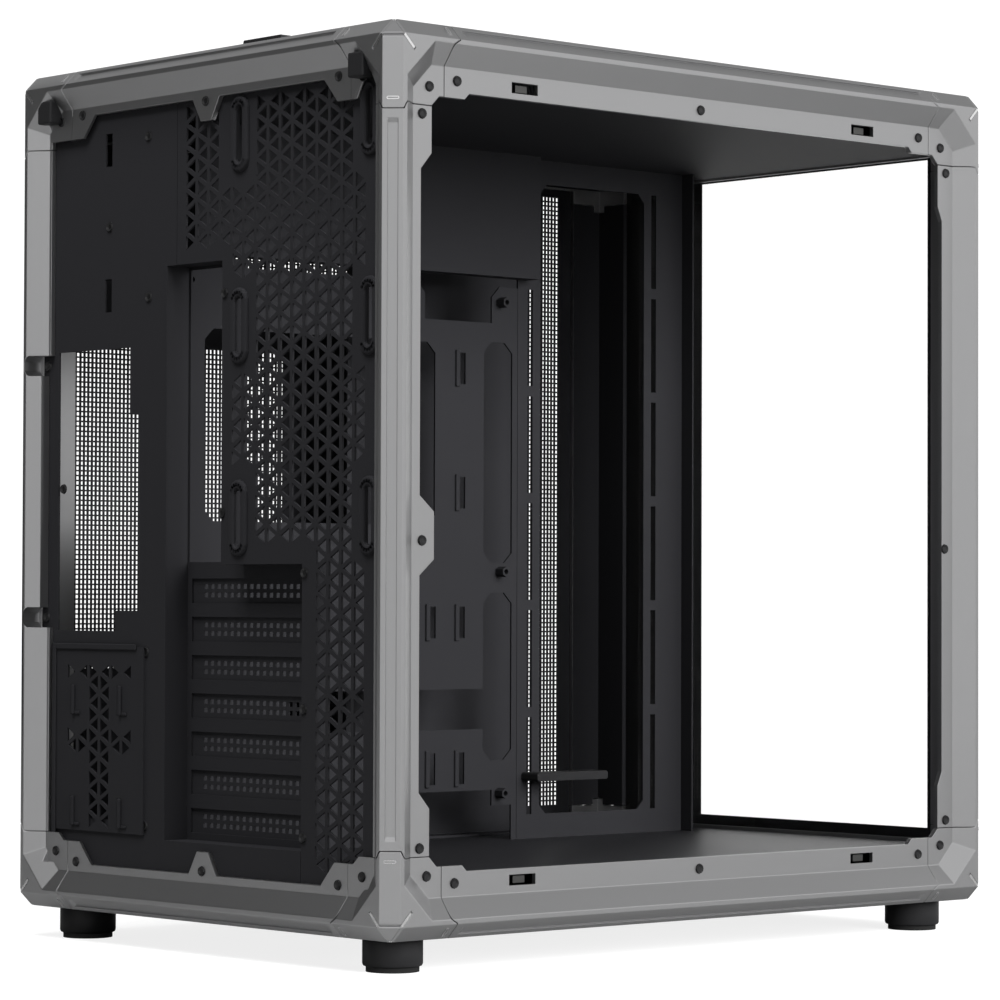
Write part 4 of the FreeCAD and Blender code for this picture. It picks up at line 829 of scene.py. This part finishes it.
def make_glass_border():
    bm = bmesh.new()
    level = glass_high.y - BORDER_SINK
    clipped_sheet(
        bm, Vector((glass_low.x + GLASS_EDGE, level, glass_low.z + GLASS_EDGE)),
        Vector((glass_high.x - GLASS_EDGE, level, glass_high.z - GLASS_EDGE)),
    )
    cut_window(
        bm, Vector((CLEAR_LEFT, level, frame_bottom + CLEAR_BOTTOM)),
        Vector((CLEAR_RIGHT, level, frame_top - CLEAR_TOP)),
    )
    thicken(bm, BORDER_COAT)
    make_piece("glass_border", bm, ink)


make_glass_border()


# Bridges pressed out of the tray over the rear half of each tie-down slot

TIE_SLOTS = (
    (-4 * MM, 318 * MM), (-4 * MM, 247 * MM), (-4 * MM, 173 * MM), (-4 * MM, 90 * MM), (18 * MM, 173 * MM),
    (18 * MM, 90 * MM),
)
BRIDGE_WIDTH = 3 * MM
BRIDGE_HALF = 10.5 * MM
BRIDGE_BEHIND = 2.5 * MM
BRIDGE_RISE = 1.4 * MM
BRIDGE_ROUND = 0.56 * MM


def make_tie_bridges():
    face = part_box("side_fan_bracket")[1].x - SHEET
    bm = bmesh.new()
    for y, z in TIE_SLOTS:
        middle = y + BRIDGE_BEHIND
        add_box(
            bm, (face - BRIDGE_RISE, middle - BRIDGE_WIDTH / 2, z - BRIDGE_HALF),
            (face, middle + BRIDGE_WIDTH / 2, z + BRIDGE_HALF),
        )
    round_edges(bm, bm.edges, BRIDGE_ROUND, 2)
    make_piece("tie_bridges", bm, steel)


make_tie_bridges()


# Screws, with round heads and sunk sockets

HEAD_SIDES = 12
HEAD_RADIUS = 2.8 * MM
HEAD_TOP_RADIUS = 2.408 * MM
HEAD_RISE = 0.9 * MM
HEAD_WALL = 1.12 * MM
HEAD_SINK = 0.72 * MM
# In millimetres inwards from the rear or front face and from the top or underside, on the left flange
SIDE_SCREWS = ((31.2, 31.5), (49.7, 27.2), (26.5, 45.5))
# In millimetres inwards from the left or right side and from the top or underside, on the rear flange
REAR_UPPER_SCREWS = ((31.3, 26.5), (50.7, 24.5))
REAR_LOWER_SCREWS = ((30, 31), (48.7, 26))
# In from the top or underside, at the middle of a rail
RAIL_MIDDLE = 26.8 * MM
# In from the rear or front face and up from the frame's underside, on a post
MIDDLE_LUG = (27.4 * MM, 198.5 * MM)
# In millimetres across from the middle of the case and above the floor, on the rear wall
PANEL_SCREWS = (
    (53.3, 433.7), (52.5, 347.3), (87.9, 387.3), (128.9, 246), (53.4, 157.6), (53.8, 64.9), (-13.3, 345.7),
    (-11.8, 230.9), (-80.1, 199.4), (-79.8, 130.1), (-79.7, 64.9), (144, 314), (144, 175.5),
)
SLOT_SCREW = -68 * MM


def screw_head():
    """Pan head with a round socket sunk in its top."""
    bm = bmesh.new()
    bmesh.ops.create_cone(
        bm, cap_ends=True, segments=HEAD_SIDES, radius1=HEAD_RADIUS, radius2=HEAD_TOP_RADIUS,
        depth=HEAD_RISE, matrix=Matrix.Translation(Z * HEAD_RISE / 2),
    )
    top = max(bm.faces, key=lambda face: face.calc_center_median().z)
    bmesh.ops.inset_region(bm, faces=[top], thickness=HEAD_WALL)
    bmesh.ops.translate(bm, verts=top.verts, vec=-Z * HEAD_SINK)
    return bm


def make_screws():
    left = []
    rear = []
    for upper, sign in itertools.product((True, False), SIDES):
        edge, inward = (frame_top, -MM) if upper else (frame_bottom, MM)
        for inset, level in SIDE_SCREWS:
            left.append((-flange_x, sign * (half_depth - inset * MM), edge + inward * level))
        for inset, level in REAR_UPPER_SCREWS if upper else REAR_LOWER_SCREWS:
            rear.append((sign * (half_width - inset * MM), flange_y, edge + inward * level))
    for sign in SIDES:
        left.append((-flange_x, sign * (half_depth - MIDDLE_LUG[0]), frame_bottom + MIDDLE_LUG[1]))
    for height in (frame_top - RAIL_MIDDLE, frame_bottom + RAIL_MIDDLE):
        left.append((-flange_x, 0, height))
        rear.append((0, flange_y, height))
    for across, level in PANEL_SCREWS:
        rear.append((across * MM, vent_high.y, level * MM))
    for across, height in ACCESS_SCREWS:
        rear.append((across, vent_high.y, height))
    for cover in SLOT_COVERS:
        low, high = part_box(cover)
        rear.append((SLOT_SCREW, bracket_low.y + SHEET, (low.z + high.z) / 2))
    places = [facing(place, -X) for place in left] + [facing(place, Y) for place in rear]
    make_piece("screws", place_copies(screw_head(), places), screw_steel)


make_screws()


# Corner caps: a triangle on each cut corner, a pill mark on each 45 degree face and a strip in each mitre,
# the marks and strips painted lighter as a highlight

VERTEX_CUT = 17 * MM
VERTEX_RADIUS = 6.6 * MM
VERTEX_RISE = 1 * MM
VERTEX_ROUND = 0.6 * MM
CHAMFER_LEG = 7.5 * MM
PILL = (6.4 * MM, 1.8 * MM)
PILL_WALL = 0.5 * MM
PILL_RISE = 0.35 * MM
PILL_PLACE = 40 * MM
# From a sharp corner of the frame, along the diagonal of a face
MITRE_SPAN = (11.5 * MM, 20.5 * MM)
MITRE_WIDTH = 1.5 * MM
MITRE_SINK = 0.1 * MM


def corner_point(signs, insets):
    """Point at given insets from a sharp corner of the frame."""
    halves = (half_width, half_depth, (frame_top - frame_bottom) / 2)
    point = Vector([sign * (half - inset) for sign, half, inset in zip(signs, halves, insets)])
    return point + Z * frame_middle


def turned(place, along, outward):
    """Place whose own Y runs along a direction and whose own Z points outward."""
    return Matrix.Translation(place) @ Matrix((along.cross(outward), along, outward)).transposed().to_4x4()


def vertex_plate():
    bm = bmesh.new()
    bmesh.ops.create_circle(bm, cap_ends=True, segments=3, radius=VERTEX_RADIUS)
    extrude_all(bm, Z * VERTEX_RISE)
    upper = [edge for edge in bm.edges if all(vert.co.z > VERTEX_RISE / 2 for vert in edge.verts)]
    round_edges(bm, upper, VERTEX_ROUND, 2)
    return bm


def pill_ring():
    bm = bmesh.new()
    face = pill_face(bm, *PILL, Matrix())
    open_face(bm, face, PILL_WALL)
    extrude_all(bm, Z * PILL_RISE)
    return bm


def mitre_bar():
    bm = bmesh.new()
    size = (MITRE_WIDTH, MITRE_SPAN[1] - MITRE_SPAN[0], MITRE_WIDTH, 1)
    sunk = Matrix.Translation(-Z * (MITRE_WIDTH / 2 + MITRE_SINK))
    bmesh.ops.create_cube(bm, size=1, matrix=sunk @ Matrix.Diagonal(size))
    return bm


def mark_caps():
    plates = []
    pills = []
    mitres = []
    for signs in itertools.product(SIDES, repeat=3):
        units = [axis * sign for axis, sign in zip((X, Y, Z), signs)]
        out = Vector(signs).normalized()
        up = units[2] - out * units[2].dot(out)
        plates.append(turned(corner_point(signs, [VERTEX_CUT / 3] * 3), up.normalized(), out))
        for axis in range(3):
            first, second = [unit for i, unit in enumerate(units) if i != axis]
            diagonal = (first + second).normalized()
            insets = [PILL_PLACE if i == axis else CHAMFER_LEG / 2 for i in range(3)]
            pills.append(turned(corner_point(signs, insets), units[axis], diagonal))
            middle = corner_point(signs, [0] * 3) - diagonal * sum(MITRE_SPAN) / 2
            mitres.append(turned(middle, diagonal, units[axis]))
    make_piece("vertex_plates", place_copies(vertex_plate(), plates), aluminium)
    # The pill marks and mitre strips take the lighter aluminium: a painted highlight.
    make_piece("cap_pills", place_copies(pill_ring(), pills), highlight_aluminium)
    make_piece("mitre_highlight_strips", place_copies(mitre_bar(), mitres), highlight_aluminium)


mark_caps()


# Rear corners: the screw flanges of caps and rails, parted by the seam, and the clips that stand on them

FLANGE_SHEET = 1.5 * MM
FLANGE_PROUD = 0.12 * MM
# Outlines in millimetres, out from the middle of the case and inwards from the top or underside
SEAM = (118.85, 119.15)
RAIL_FLANGE = ((96.8, 24), (108.3, 37), (SEAM[0], 37), (SEAM[0], 24))
CAP_TO_POST = ((SEAM[1], 24), (SEAM[1], 37), (139.4, 37), (139.4, 24))
CAP_TAPER = ((SEAM[1], 24), (SEAM[1], 37), (120.5, 37), (129.5, 26.5), (129.5, 24))
CAP_STEP = ((SEAM[1], 24), (SEAM[1], 37), (123, 37), (127.5, 41), (139.4, 41), (139.4, 24))
CLIP_MIDDLES = {"rear_clip_left": -131 * MM, "rear_clip_right": 135 * MM}
CLIP_WIDTH = 12 * MM
CLIP_BOTTOM = 446.5 * MM
CLIP_TOP = 459 * MM
CLIP_PROUD = 7.8 * MM
CLIP_ROOT = 1.5 * MM
CLIP_EDGE = 1 * MM


def make_corner_flanges():
    bm = bmesh.new()
    for side, upper in itertools.product(SIDES, (True, False)):
        cap = CAP_STEP if not upper else CAP_TO_POST if side > 0 else CAP_TAPER
        for outline in (RAIL_FLANGE, cap):
            bm.faces.new([
                bm.verts.new((
                    side * across * MM, flange_y + FLANGE_PROUD,
                    frame_top - inward * MM if upper else frame_bottom + inward * MM,
                ))
                for across, inward in outline
            ])
    extrude_all(bm, -Y * FLANGE_SHEET)
    make_piece("corner_flanges", bm, aluminium)


def make_clips():
    """Moulded blocks on the upper corners of the rear wall."""
    bm = bmesh.new()
    for middle in CLIP_MIDDLES.values():
        add_box(
            bm, (middle - CLIP_WIDTH / 2, flange_y - CLIP_ROOT, CLIP_BOTTOM),
            (middle + CLIP_WIDTH / 2, flange_y + CLIP_PROUD, CLIP_TOP),
        )
    round_edges(bm, bm.edges, CLIP_EDGE, 3)
    make_piece("rear_clips", bm, plastic, CLIP_MIDDLES)


make_corner_flanges()
make_clips()
